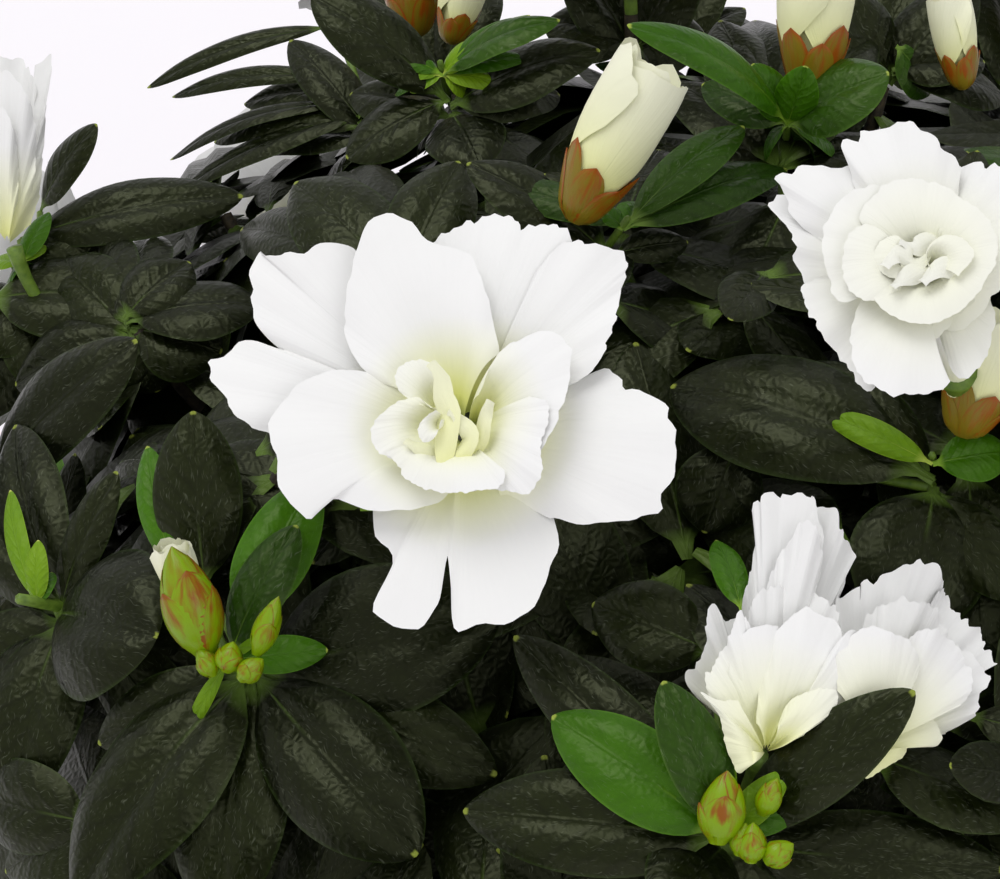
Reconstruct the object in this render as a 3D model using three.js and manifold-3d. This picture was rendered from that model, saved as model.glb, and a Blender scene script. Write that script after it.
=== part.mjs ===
// A pot-grown azalea in flower: a plastic pot filled by the root ball, a short trunk that breaks
// into boughs, a dense low dome of leafy shoots, and white double blooms on their own flowering twigs.
// Millimetres, +Z up. The origin is the middle of the pot's flat underside, and -Y is the front.

import * as THREE from "three";
import { mergeVertices } from "three/addons/utils/BufferGeometryUtils.js";
import Module from "manifold-3d";

const wasm = await Module();
wasm.setup();

// The pot and its filling.
const POT_HEIGHT = 104;
const POT_RIM_RADIUS = 70;
const POT_FOOT_RADIUS = 50;
const RIM_BAND = 20;
const RIM_STEP = 3;
const RIM_ROUND = 1.5;
const WALL = 2.6;
const FLOOR = 3;
const DRAIN_HOLES = 5;
const DRAIN_RADIUS = 4.5;
const DRAIN_CIRCLE = 32;
const GROUND_Z = 92;
const GAP = 0.3;

// The trunk, from its flat cut on the root ball to its fork: radii and how far up each one stands.
const TRUNK_TOP = new THREE.Vector3(3, 2, 126);
const TRUNK_RADII = [12.5, 8.6, 7.4, 7.6, 6.2];
const TRUNK_STATIONS = [0, 0.2, 0.5, 0.85, 1];
const TRUNK_BEND = 1.5;
const ROOT_LOBES = 5;
const ROOT_FLARE = 0.2;

// The crown is a dome of shoot tips that is flatter below its widest height. Each mass has a core inside it.
const CROWN_Z = 165;
const CROWN_ACROSS = 152;
const CROWN_UP = 124;
const CROWN_DOWN = 46;
const SKIRT_ROUNDING = 1.6;
const CORE_SHARE = 0.71;
const CORE_DOWN = 56;
const CORE_ROWS = 9;
const CORE_COLUMNS = 16;
const HEART_RADIUS = 72;
const CELL_MARGIN = 0.5;
const CORE_MARGIN = 2;

// Boughs run from the trunk towards their mass; each ends where the mass's stem starts.
const FORK = new THREE.Vector3(0, 0, 126);
const BOUGH_REACH = 58;
const BOUGH_RADII = [2.6, 3, 3, 2.9];
const BOUGH_SAG = 1.5;
const STEM_RADII = [2.9, 2.6];
const SHOULDERS = 5;
const SKIRTS = 7;

// Shoots.
const SHOOTS = 74;
const LOWEST_SHOOT = -26;
const SHOOT_CLEARANCE = 33;
const SHOOT_REACH = 24;
const TWIG_RADII = [2.3, 1.9, 1.5];
const GOLDEN_ANGLE = Math.PI * (3 - Math.sqrt(5));

// A shoot's draw from 0 to 1 says what it carries: a bloom below the first of these and a bud below
// the second. This share of the blooms are wide open, and none is lower than this latitude.
const FLOWERING = 0.62;
const BUDDED = 0.8;
const OPEN_SHARE = 0.6;
const LOWEST_BLOOM = -12;

// Leaves stand in a loose whorl below each shoot's tip: where each starts, and how steeply it rises.
const WHORL = 6;
const WHORL_START = 3;
const WHORL_STEP = 2.6;
const FIRST_RISE = 0.42;
const LAST_RISE = -0.33;
const LEAF_LENGTH = 45;
const LEAF_WIDTH = 21;
const LEAF_THICK = 1.3;
const LEAF_DROOP = 6;

// How far along a leaf each cross-section is, and its share of the width and of the thickness.
const LEAF_STATIONS = [
  [0, 0.06, 0.7],
  [0.36, 0.98, 1],
  [0.72, 0.8, 0.8],
];

// Turns, in radians, and sizes that are tried for a leaf until one is clear.
const LEAF_TRIES = [
  [0, 1],
  [0.35, 0.9],
  [-0.35, 0.9],
  [0.15, 0.7],
];

// Buds and blooms.
const BUD_LENGTH = 19;
const BUD_SIDES = 5;
const BLOOM_SPACING = 60;
const BLOOM_HEAD = 20;
const OPEN_FACE = 25;
const CUP_FACE = 1.55;
const BLOOM_POINTS = 15;
const LOBE = 3;
const PEDICEL_RADIUS = 1.6;

// Pieces whose middles are farther apart than these can't touch and aren't tested against each other.
const NEAR_BLOOM = 85;
const NEAR_LEAF = 75;

const PETAL = { color: 0xf6f5ef, roughness: 0.55, metalness: 0 };
const LEAF = { color: 0x25351f, roughness: 0.45, metalness: 0 };
const BARK = { color: 0x5d4735, roughness: 0.9, metalness: 0 };
const PLASTIC = { color: 0xa4573a, roughness: 0.6, metalness: 0 };
const PEAT = { color: 0x2b1f17, roughness: 1, metalness: 0 };

// The shoots at the front of the dome: tip, the way it points, and what it carries. The size of a
// bloom is its radius, and face is how high its rim stands above the tip.
const FRONT_SHOOTS = [
  { tip: [-44, -56, 258], axis: [-0.16, -0.6, 0.78], kind: "open", size: 35, face: 25 },
  { tip: [28, -58, 269], axis: [-0.14, -0.32, 0.94], kind: "cup", size: 23, face: 36 },
  { tip: [-4, -105, 240], axis: [0.1, -0.1, 0.98], kind: "cup", size: 13, face: 34 },
  { tip: [14, -104, 240], axis: [0.36, -0.26, 0.9], kind: "cup", size: 13, face: 28 },
  { tip: [-128, 27, 241], axis: [-0.17, 0.18, 0.97], kind: "cup", size: 13, face: 30 },
  { tip: [-82, -80, 236], axis: [-0.4, -0.5, 0.77], kind: "bud" },
  { tip: [-120, -51, 225], axis: [-0.6, -0.35, 0.72], kind: "leafy" },
  { tip: [-9, -117, 236], axis: [-0.05, -0.62, 0.78], kind: "bud" },
  { tip: [-27, -26, 278], axis: [0.3, -0.1, 0.95], kind: "bud" },
  { tip: [9, 8, 282], axis: [0.1, 0, 1], kind: "bud" },
  { tip: [-50, 36, 270], axis: [-0.2, 0.2, 0.96], kind: "bud" },
  { tip: [-70, 50, 263], axis: [-0.45, 0.35, 0.82], kind: "leafy" },
  { tip: [-112, 14, 243], axis: [-0.45, 0.05, 0.89], kind: "leafy" },
];

// Around this place the blooms are the ones listed, and the other shoots carry buds or only leaves.
const FRONT_MIDDLE = new THREE.Vector3(-42, -68, 262);
const FRONT_REACH = 100;

// A fixed draw between 0 and 1 for the nth choice made on shoot number seed.
function draw(seed, n) {
  const value = Math.sin(seed * 12.9898 + n * 78.233) * 43758.5453;
  return value - Math.floor(value);
}

// The crown's surface at a longitude and latitude in degrees, and the way out of it there.
function crownPoint(longitude, latitude, share = 1, down = CROWN_DOWN) {
  const lon = THREE.MathUtils.degToRad(longitude);
  const lat = THREE.MathUtils.degToRad(latitude);
  const rise = latitude > 0 ? CROWN_UP : down;
  return new THREE.Vector3(
    share * CROWN_ACROSS * Math.cos(lat) * Math.cos(lon),
    share * CROWN_ACROSS * Math.cos(lat) * Math.sin(lon),
    CROWN_Z + share * rise * Math.sin(lat),
  );
}

function crownNormal(point) {
  const rise = point.z > CROWN_Z ? CROWN_UP : CROWN_DOWN * SKIRT_ROUNDING;
  return new THREE.Vector3(
    point.x / CROWN_ACROSS ** 2,
    point.y / CROWN_ACROSS ** 2,
    (point.z - CROWN_Z) / rise ** 2,
  ).normalize();
}

// A frame around an axis: two directions across it, the first as level as it can be.
function across(axis) {
  const side = new THREE.Vector3(0, 0, 1).cross(axis);
  if (side.lengthSq() < 1e-4) side.set(1, 0, 0);
  side.normalize();
  return [side, axis.clone().cross(side).normalize()];
}

// A closed solid from points and triangles, turned to face out.
function solidFrom(points, faces) {
  const build = (triangles) =>
    new wasm.Manifold(
      new wasm.Mesh({
        numProp: 3,
        vertProperties: new Float32Array(points.flatMap((p) => [p.x, p.y, p.z])),
        triVerts: new Uint32Array(triangles.flat()),
      }),
    );
  const made = build(faces);
  return made.volume() > 0 ? made : build(faces.map(([a, b, c]) => [a, c, b]));
}

// A skin over rings of points. Neighbouring rings have the same number of points, or one has a whole
// number of times as many as the other, and an end may be a single point.
function skin(rings) {
  const points = rings.flat();
  const faces = [];
  let start = 0;
  for (let k = 0; k + 1 < rings.length; k += 1) {
    const next = start + rings[k].length;
    const [many, few] = [rings[k], rings[k + 1]].map((ring) => ring.length).sort((a, b) => b - a);
    const widens = rings[k].length < rings[k + 1].length;
    const partner = (i) => Math.floor((i % many) / (many / few) + 0.5) % few;
    const [manyStart, fewStart] = widens ? [next, start] : [start, next];
    for (let i = 0; i < many; i += 1) {
      const [here, on] = [manyStart + i, manyStart + ((i + 1) % many)];
      const [close, closeOn] = [fewStart + partner(i), fewStart + partner(i + 1)];
      const found = close === closeOn ? [[here, on, close]] : [[here, on, close], [on, closeOn, close]];
      for (const [p, q, r] of found) faces.push(widens ? [p, r, q] : [p, q, r]);
    }
    start = next;
  }
  for (let i = 1; i + 1 < rings[0].length; i += 1) faces.push([0, i + 1, i]);
  for (let i = 1; i + 1 < rings.at(-1).length; i += 1) faces.push([start, start + i, start + i + 1]);
  return solidFrom(points, faces);
}

// The largest of a solid's separate bodies.
function largest(solid) {
  return solid.decompose().sort((a, b) => b.volume() - a.volume())[0];
}

// A tapering limb along a list of points, with a radius at each and its ends cut square. Its first
// end can spread into lobes.
function limb(path, radii, sides, lobes = 0) {
  const rings = path.map((point, k) => {
    const ahead = path[Math.min(k + 1, path.length - 1)];
    const behind = path[Math.max(k - 1, 0)];
    const axis = ahead.clone().sub(behind).normalize();
    const [side, up] = across(axis);
    return Array.from({ length: sides }, (unused, i) => {
      const turn = (2 * Math.PI * i) / sides;
      const flare = 1 + (k === 0 && lobes ? ROOT_FLARE * Math.cos(lobes * turn) : 0);
      return point
        .clone()
        .addScaledVector(side, radii[k] * flare * Math.cos(turn))
        .addScaledVector(up, radii[k] * flare * Math.sin(turn));
    });
  });
  return skin(rings);
}

// A solid of revolution from a profile of [radius, height] pairs that starts and ends on the axis.
function turned(profile, segments) {
  const geometry = new THREE.LatheGeometry(
    profile.map(([radius, height]) => new THREE.Vector2(radius, height)),
    segments,
  ).rotateX(Math.PI / 2);
  geometry.deleteAttribute("normal");
  geometry.deleteAttribute("uv");
  const merged = mergeVertices(geometry, 1e-3);
  const place = merged.getAttribute("position");
  const points = Array.from({ length: place.count }, (unused, i) =>
    new THREE.Vector3().fromBufferAttribute(place, i),
  );
  const faces = [];
  for (let i = 0; i < merged.index.count; i += 3) {
    const [a, b, c] = merged.index.array.subarray(i, i + 3);
    if (a !== b && b !== c && c !== a) faces.push([a, b, c]);
  }
  return solidFrom(points, faces);
}

// The pot: a tapering moulded wall, a stepped rim band, a flat underside and drain holes in its floor.
const BAND_FOOT = POT_HEIGHT - RIM_BAND;
const NECK_RADIUS = POT_RIM_RADIUS - RIM_STEP - RIM_ROUND;

function insideRadius(height) {
  return THREE.MathUtils.mapLinear(height, 0, BAND_FOOT, POT_FOOT_RADIUS, NECK_RADIUS) - WALL;
}

function makePot() {
  const wall = turned(
    [
      [0, 0],
      [POT_FOOT_RADIUS - 2, 0],
      [POT_FOOT_RADIUS, 2],
      [NECK_RADIUS, BAND_FOOT],
      [POT_RIM_RADIUS - RIM_ROUND, BAND_FOOT + 1],
      [POT_RIM_RADIUS, POT_HEIGHT - 1],
      [POT_RIM_RADIUS - 0.8, POT_HEIGHT],
      [POT_RIM_RADIUS - WALL, POT_HEIGHT],
      [insideRadius(BAND_FOOT - 2), BAND_FOOT - 2],
      [insideRadius(FLOOR), FLOOR],
      [0, FLOOR],
    ],
    32,
  );
  const hole = turned([[0, -1], [DRAIN_RADIUS, -1], [DRAIN_RADIUS, FLOOR + 1], [0, FLOOR + 1]], 10);
  const holes = Array.from({ length: DRAIN_HOLES }, (unused, i) => {
    const turn = (2 * Math.PI * i) / DRAIN_HOLES;
    return hole.translate([DRAIN_CIRCLE * Math.cos(turn), DRAIN_CIRCLE * Math.sin(turn), 0]);
  });
  return holes.reduce((pot, drain) => pot.subtract(drain), wall);
}

// The root ball fills the pot, stands on its floor and is flat where the trunk stands.
function makeRootBall() {
  const edge = (height) => insideRadius(height) - 2 * GAP;
  return turned(
    [
      [0, FLOOR],
      [edge(FLOOR), FLOOR],
      [edge(BAND_FOOT - 2), BAND_FOOT - 2],
      [edge(BAND_FOOT - 2) + 0.8, GROUND_Z - 5],
      [44, GROUND_Z - 1.5],
      [20, GROUND_Z],
      [0, GROUND_Z],
    ],
    28,
  );
}

function trunkPath() {
  const foot = new THREE.Vector3(0, 0, GROUND_Z);
  return TRUNK_STATIONS.map((share) => {
    const bend = new THREE.Vector3(TRUNK_BEND * Math.sin(Math.PI * share), 0, 0);
    return foot.clone().lerp(TRUNK_TOP, share).add(bend);
  });
}

// The trunk, grown by a clearance when it is used to cut what meets it. Its foot is a level flat cut.
function makeTrunk(clearance = 0) {
  const whole = limb(trunkPath(), TRUNK_RADII.map((radius) => radius + clearance), 10, ROOT_LOBES);
  return clearance ? whole : whole.trimByPlane([0, 0, 1], GROUND_Z);
}

function directionOf(longitude, latitude) {
  const lon = THREE.MathUtils.degToRad(longitude);
  const lat = THREE.MathUtils.degToRad(latitude);
  return new THREE.Vector3(
    Math.cos(lat) * Math.cos(lon),
    Math.cos(lat) * Math.sin(lon),
    Math.sin(lat),
  );
}

// The masses: one on top, a ring of them round the shoulders and a skirt below, each by its direction
// from the fork and the height at which its bough leaves the trunk.
const MASSES = [{ name: "top", way: directionOf(90, 84), foot: 122 }];
for (let i = 0; i < SHOULDERS; i += 1) {
  const way = directionOf(-110 + (360 / SHOULDERS) * i, 46);
  MASSES.push({ name: `shoulder_${i + 1}`, way, foot: 116 + (i % 2) });
}
for (let i = 0; i < SKIRTS; i += 1) {
  const way = directionOf(-90 + (360 / SKIRTS) * i, 17);
  MASSES.push({ name: `skirt_${i + 1}`, way, foot: 103 + 3 * (i % 3) });
}

// The planes round a mass's space: it is the cone of directions from the fork that are nearest to its own.
for (const mass of MASSES)
  mass.walls = MASSES.filter((other) => other !== mass).map((other) =>
    mass.way.clone().sub(other.way).normalize(),
  );

function insideSpace(mass, points) {
  return points.every((point) => {
    const reach = point.clone().sub(FORK);
    return mass.walls.every((wall) => wall.dot(reach) > CELL_MARGIN);
  });
}

function massOf(point) {
  const reach = point.clone().sub(FORK).normalize();
  return MASSES.reduce((best, mass) => (mass.way.dot(reach) > best.way.dot(reach) ? mass : best));
}

function headOf(shoot) {
  return shoot.tip.clone().addScaledVector(shoot.axis, BLOOM_HEAD);
}

// All shoots: those at the front, then the rest on an even spiral wherever there is room. Most carry a
// bloom where no other is close, some a bud, and the rest only leaves.
function layOutShoots() {
  const shoots = FRONT_SHOOTS.map((shoot, i) => ({
    ...shoot,
    seed: i + 1,
    tip: new THREE.Vector3(...shoot.tip),
    axis: new THREE.Vector3(...shoot.axis).normalize(),
  }));
  const lowest = Math.sin(THREE.MathUtils.degToRad(LOWEST_SHOOT));
  for (let i = 0; i < SHOOTS; i += 1) {
    const seed = 100 + i;
    const height = 1 - ((i + 0.5) * (1 - lowest)) / SHOOTS;
    const latitude = THREE.MathUtils.radToDeg(Math.asin(height)) + 5 * (draw(seed, 1) - 0.5);
    const longitude = THREE.MathUtils.radToDeg(i * GOLDEN_ANGLE) + 8 * (draw(seed, 2) - 0.5);
    const share = 0.93 + 0.05 * draw(seed, 3);
    const tip = crownPoint(longitude, Math.min(latitude, 89), share);
    if (shoots.some((other) => other.tip.distanceTo(tip) < SHOOT_CLEARANCE)) continue;
    const axis = crownNormal(tip).add(new THREE.Vector3(0, 0, 0.35)).normalize();
    const head = headOf({ tip, axis });
    const room = shoots.every(
      (other) => !other.size || headOf(other).distanceTo(head) > BLOOM_SPACING,
    );
    const listed = tip.distanceTo(FRONT_MIDDLE) < FRONT_REACH;
    const roll = draw(seed, 4);
    if (room && !listed && latitude > LOWEST_BLOOM && roll < FLOWERING) {
      const open = draw(seed, 5) < OPEN_SHARE;
      const size = open ? 31 + 4 * roll : 19 + 6 * roll;
      shoots.push({ seed, tip, axis, kind: open ? "open" : "cup", size });
    } else shoots.push({ seed, tip, axis, kind: roll < BUDDED ? "bud" : "leafy" });
  }
  return shoots;
}

// A ring of points round a shoot's axis, even and plain.
function plainRing({ tip, axis }, sides, radius, height) {
  const [side, up] = across(axis);
  return Array.from({ length: sides }, (unused, i) => {
    const turn = (2 * Math.PI * i) / sides;
    return tip
      .clone()
      .addScaledVector(side, radius * Math.cos(turn))
      .addScaledVector(up, radius * Math.sin(turn))
      .addScaledVector(axis, height);
  });
}

// A ring of petal edge with a notch between every two petals, ruffled by the shoot's seed.
function petalRing({ tip, axis, seed }, radius, height, notch, ruffle, phase) {
  const [side, up] = across(axis);
  return Array.from({ length: BLOOM_POINTS }, (unused, i) => {
    const turn = (2 * Math.PI * (i + [0, -0.16, 0.16][i % LOBE])) / BLOOM_POINTS + phase;
    const cut = i % LOBE === 0 ? notch : 0;
    const far = radius * (1 - cut) * (1 + ruffle * 0.02 * (draw(seed, 20 + i) - 0.5));
    return tip
      .clone()
      .addScaledVector(side, far * Math.cos(turn))
      .addScaledVector(up, far * Math.sin(turn))
      .addScaledVector(axis, height + ruffle * (draw(seed, 50 + i) - 0.5));
  });
}

// A double bloom on its twig: a tube from the calyx that opens to five lobes, round a smaller inner cup.
// Open blooms lie flat, cups are half open. Grown by a clearance, it is the room the leaves leave free.
function makeBloom(shoot, clearance = 0) {
  const { tip, axis, kind, size } = shoot;
  const open = kind === "open";
  const wide = size + clearance;
  const face = shoot.face ?? (open ? OPEN_FACE : CUP_FACE * size);
  const throat = face - (open ? 5 : 12) + clearance;
  const underside = face - (open ? 7 : 14) - clearance;
  return skin([
    [tip.clone().addScaledVector(axis, throat)],
    petalRing(shoot, size * 0.3, face + 4 + clearance, 0.1, 2, 0.3),
    petalRing(shoot, size * 0.42, face - 2 + clearance, 0, 1, 0.15),
    petalRing(shoot, wide, face + clearance / 2, 0.26, 5, 0),
    petalRing(shoot, wide * (open ? 0.4 : 0.55), underside, 0, 0, 0),
    plainRing(shoot, 3, PEDICEL_RADIUS + 0.4 + clearance, 7 - clearance),
    plainRing(shoot, 3, PEDICEL_RADIUS + clearance, clearance ? 2 * GAP : GAP),
  ]);
}

// A pointed flower bud on the end of its twig.
function makeBud(shoot) {
  const length = BUD_LENGTH * (0.75 + 0.5 * draw(shoot.seed, 8));
  return skin([
    plainRing(shoot, BUD_SIDES, 1.6, -1),
    plainRing(shoot, BUD_SIDES, 0.26 * length, 0.35 * length),
    plainRing(shoot, BUD_SIDES, 0.2 * length, 0.68 * length),
    [shoot.tip.clone().addScaledVector(shoot.axis, length)],
  ]);
}

// A leaf: flat above and keeled below, elliptic, drooping to its tip, from a root that is sunk in its twig.
function leafPoints(root, way, blade, length, width, droop) {
  const over = blade.clone().cross(way).normalize();
  const at = (share) =>
    root
      .clone()
      .addScaledVector(way, share * length)
      .addScaledVector(over, -droop * share * share);
  const rings = LEAF_STATIONS.map(([share, spread, thick]) => {
    const middle = at(share);
    return [
      middle.clone().addScaledVector(blade, (spread * width) / 2),
      middle.clone().addScaledVector(blade, (-spread * width) / 2),
      middle.clone().addScaledVector(over, -thick * LEAF_THICK),
    ];
  });
  return [...rings, [at(1)]];
}

// The points of one leaf of a shoot's whorl, turned and sized as one of the tries asks.
function whorlLeaf({ tip, axis, seed, size, down }, i, [swing, share]) {
  const [side, up] = across(axis);
  const spin = i * GOLDEN_ANGLE + 2 * Math.PI * draw(seed, 7) + swing;
  const rise = THREE.MathUtils.lerp(FIRST_RISE, LAST_RISE, i / WHORL) - (size ? 0.12 : 0);
  const way = side
    .clone()
    .multiplyScalar(Math.cos(spin))
    .addScaledVector(up, Math.sin(spin))
    .multiplyScalar(Math.cos(rise))
    .addScaledVector(axis, Math.sin(rise));
  const root = tip.clone().addScaledVector(down, WHORL_START + WHORL_STEP * i);
  const blade = way.clone().cross(axis).normalize();
  const length = LEAF_LENGTH * share * (0.85 + 0.25 * draw(seed, 10 + i));
  const droop = LEAF_DROOP * (1 + draw(seed, 30 + i));
  return leafPoints(root, way, blade, length, LEAF_WIDTH * share, droop);
}

// One mass: a core cut to its space, its stem, and a leafy twig from the core to each of its shoot tips.
// A twig that would pass through a bloom or another twig is skipped. A leaf that would leave the space,
// or pass through a bloom, the core or another leaf, is tried again turned or smaller, and is left out
// if no try is clear. A scrap that stays loose is dropped.
function makeMass(mass, shoots, blooms) {
  const reachPoint = (distance) => FORK.clone().addScaledVector(mass.way, distance);
  let core = coreDome;
  for (const wall of mass.walls)
    core = core.trimByPlane(wall.toArray(), wall.dot(FORK) + CORE_MARGIN);
  const stem = limb([reachPoint(BOUGH_REACH + GAP), reachPoint(HEART_RADIUS + 12)], STEM_RADII, 6);
  const hub = reachPoint(HEART_RADIUS + 16);
  const pieces = [core, stem];
  const placed = [];
  const misses = (piece, other) => piece.intersect(other).isEmpty();
  const clear = (piece, near, own) =>
    blooms.every(({ head, room }) => head.distanceTo(near) > NEAR_BLOOM || misses(piece, room)) &&
    placed
      .filter((other) => other.seed !== own && other.near.distanceTo(near) <= NEAR_LEAF)
      .every((other) => misses(piece, other.piece));
  const keep = (piece, near, seed) => {
    pieces.push(piece);
    placed.push({ piece, near, seed });
  };
  const leafy = [];
  for (const shoot of shoots) {
    const { tip, axis, seed } = shoot;
    const knee = tip.clone().addScaledVector(axis, -SHOOT_REACH).lerp(hub, 0.22);
    const twig = limb([hub.clone().lerp(knee, 0.1), knee, tip], TWIG_RADII, 3);
    if (!clear(twig.subtract(core), tip, seed)) continue;
    keep(twig, tip, seed);
    if (shoot.kind === "bud") keep(makeBud(shoot), tip);
    leafy.push({ ...shoot, down: knee.sub(tip).normalize() });
  }
  for (const shoot of leafy)
    for (let i = 0; i < WHORL; i += 1)
      for (const choice of LEAF_TRIES) {
        const rings = whorlLeaf(shoot, i, choice);
        if (!insideSpace(mass, rings.flat())) continue;
        const leaf = skin(rings);
        if (!misses(leaf, core) || !clear(leaf, rings[1][0], shoot.seed)) continue;
        keep(leaf, rings[1][0]);
        break;
      }
  return largest(wasm.Manifold.union(pieces));
}

// The dome that the cores are cut from: a dented ball inside the crown, hollow round the fork.
function makeCoreDome() {
  const down = CORE_DOWN / CORE_SHARE;
  const rings = Array.from({ length: CORE_ROWS }, (unused, k) => {
    const latitude = -90 + (180 * k) / (CORE_ROWS - 1);
    if (k === 0 || k === CORE_ROWS - 1) return [crownPoint(0, latitude, CORE_SHARE, down)];
    return Array.from({ length: CORE_COLUMNS }, (unusedToo, i) => {
      const share = CORE_SHARE * (0.94 + 0.12 * draw(k, i));
      return crownPoint((360 * i) / CORE_COLUMNS, latitude, share, down);
    });
  });
  const heart = [0, 45, 90, 135, 180].map((turn) => {
    const angle = THREE.MathUtils.degToRad(turn);
    return [HEART_RADIUS * Math.sin(angle), -HEART_RADIUS * Math.cos(angle)];
  });
  return skin(rings).subtract(turned(heart, 12).translate(FORK.toArray()));
}

// A bough from the trunk to its mass, square-ended in front of the mass's stem and cut clear of the trunk.
function makeBough(mass) {
  const foot = new THREE.Vector3(TRUNK_TOP.x - 1, TRUNK_TOP.y - 0.7, mass.foot);
  foot.addScaledVector(mass.way, 2);
  const tip = FORK.clone().addScaledVector(mass.way, BOUGH_REACH);
  const shoulder = tip.clone().addScaledVector(mass.way, -10);
  const middle = foot.clone().lerp(shoulder, 0.55).add(new THREE.Vector3(0, 0, -BOUGH_SAG));
  return largest(limb([foot, middle, shoulder, tip], BOUGH_RADII, 6).subtract(makeTrunk(GAP)));
}

function meshOf(name, solid, finish) {
  const { numProp, numVert, vertProperties, triVerts } = solid.getMesh();
  const place = new Float32Array(numVert * 3);
  for (let i = 0; i < numVert; i += 1)
    place.set(vertProperties.subarray(i * numProp, i * numProp + 3), i * 3);
  const geometry = new THREE.BufferGeometry();
  geometry.setAttribute("position", new THREE.BufferAttribute(place, 3));
  geometry.setIndex(new THREE.BufferAttribute(new Uint32Array(triVerts), 1));
  const mesh = new THREE.Mesh(geometry, new THREE.MeshStandardMaterial(finish));
  mesh.name = name;
  return mesh;
}

const coreDome = makeCoreDome();
const azalea = new THREE.Group();
azalea.add(meshOf("pot", makePot(), PLASTIC));
azalea.add(meshOf("root_ball", makeRootBall(), PEAT));
azalea.add(meshOf("trunk", makeTrunk(), BARK));

const shoots = layOutShoots();
const flowering = shoots.filter((shoot) => shoot.size);
const blooms = flowering.map((shoot) => ({ head: headOf(shoot), room: makeBloom(shoot, 1) }));
flowering.forEach((shoot, i) =>
  azalea.add(meshOf(`bloom_${String(i + 1).padStart(2, "0")}`, makeBloom(shoot), PETAL)),
);
for (const mass of MASSES) {
  const own = shoots.filter((shoot) => massOf(shoot.tip) === mass);
  azalea.add(meshOf(`bough_${mass.name}`, makeBough(mass), BARK));
  azalea.add(meshOf(`foliage_${mass.name}`, makeMass(mass, own, blooms), LEAF));
}

export default azalea;
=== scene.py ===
import math

import bpy
import numpy as np
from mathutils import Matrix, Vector, noise


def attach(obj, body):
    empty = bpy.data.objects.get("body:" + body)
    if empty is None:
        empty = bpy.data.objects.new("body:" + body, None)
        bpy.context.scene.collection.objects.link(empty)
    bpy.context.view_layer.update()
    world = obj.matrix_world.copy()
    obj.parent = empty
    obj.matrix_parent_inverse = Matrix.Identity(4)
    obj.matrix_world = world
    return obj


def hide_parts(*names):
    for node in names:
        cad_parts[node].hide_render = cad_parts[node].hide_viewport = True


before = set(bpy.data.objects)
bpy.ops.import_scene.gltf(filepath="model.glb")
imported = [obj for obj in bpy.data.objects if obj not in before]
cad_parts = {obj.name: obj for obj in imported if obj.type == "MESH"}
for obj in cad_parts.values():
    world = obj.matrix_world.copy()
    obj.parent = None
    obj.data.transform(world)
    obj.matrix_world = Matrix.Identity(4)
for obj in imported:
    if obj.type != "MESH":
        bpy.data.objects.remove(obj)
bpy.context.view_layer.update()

# The view. It looks down on the front of the crown from close by, through a long lens. Some front
# pieces are set out by where the photograph shows them: a pixel from its top left corner gives a
# line of sight, and the place is where that line meets a plane through what carries the piece.
MM = 0.001
PHOTO_MIDDLE = (500.0, 439.5)
PHOTO_WIDTH = 1000.0
LENS = 125.0
SENSOR = 36.0
PIXEL = SENSOR / LENS / PHOTO_WIDTH
TARGET = np.array([-42.0, -68.3, 270.3])
DISTANCE = 521.0
LOOK_DOWN = math.radians(37)
AHEAD = np.array([0.0, math.cos(LOOK_DOWN), -math.sin(LOOK_DOWN)])
RIGHT = np.array([1.0, 0.0, 0.0])
ABOVE = np.array([0.0, math.sin(LOOK_DOWN), math.cos(LOOK_DOWN)])
EYE = TARGET - DISTANCE * AHEAD


def seen_on(pixel, point, normal, lift=0.0):
    """Where the line of sight through a pixel meets a plane, or a copy of it lifted along its normal."""
    way = AHEAD + (pixel[0] - PHOTO_MIDDLE[0]) * PIXEL * RIGHT
    way = way - (pixel[1] - PHOTO_MIDDLE[1]) * PIXEL * ABOVE
    return EYE + way * (((point + lift * normal - EYE) @ normal) / (way @ normal))


bpy.ops.object.select_all(action="DESELECT")
bpy.ops.object.camera_add(location=EYE * MM, rotation=(math.pi / 2 - LOOK_DOWN, 0, 0))
camera = bpy.context.object
camera.data.lens = LENS
camera.data.sensor_width = SENSOR
camera.data.clip_start = 0.01
bpy.context.scene.camera = camera


# The studio: a pale floor that runs on past the view, and soft light from a large lamp above, to the
# left and a little behind the plant, with an even pale room all round.
def linear(hex_colour):
    """A colour given as on a screen, in the shares of light that a node takes."""
    shares = [int(hex_colour[i : i + 2], 16) / 255 for i in (1, 3, 5)]
    return tuple(c / 12.92 if c <= 0.04045 else ((c + 0.055) / 1.055) ** 2.4 for c in shares) + (1.0,)


def feed(node, inputs):
    """Sets a node's inputs, or links them. A node given as a value stands for its first result in use."""
    for key, value in inputs.items():
        if isinstance(value, bpy.types.Node):
            value = next(result for result in value.outputs if result.enabled)
        if isinstance(value, bpy.types.NodeSocket):
            node.id_data.links.new(value, node.inputs[key])
        else:
            node.inputs[key].default_value = value


def add(tree, kind, inputs=None, **settings):
    """A new node. Inputs by number: a MapRange's 1 and 2 are the range it takes and its 3 and 4 the one
    it gives, and a colour Mix's 0 is the share and its 6 and 7 are the two colours."""
    made = tree.nodes.new("ShaderNode" + kind)
    for name, value in settings.items():
        setattr(made, name, value)
    feed(made, inputs or {})
    return made


def finish_called(name):
    """A new material, with its node tree and its shader."""
    material = bpy.data.materials.new(name)
    material.use_nodes = True
    return material, material.node_tree, material.node_tree.nodes["Principled BSDF"]


FLOOR_WIDTH = 12.0
ROOM_COLOUR = "#F6F5F8"
ROOM_STRENGTH = 0.74
LAMP_PLACE = (-0.9, 0.1, 3.0)
LAMP_WIDTH = 2.0
LAMP_POWER = 32
FILL_PLACE = (1.6, -2.6, 2.0)
FILL_WIDTH = 2.0
FILL_POWER = 14

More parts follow.
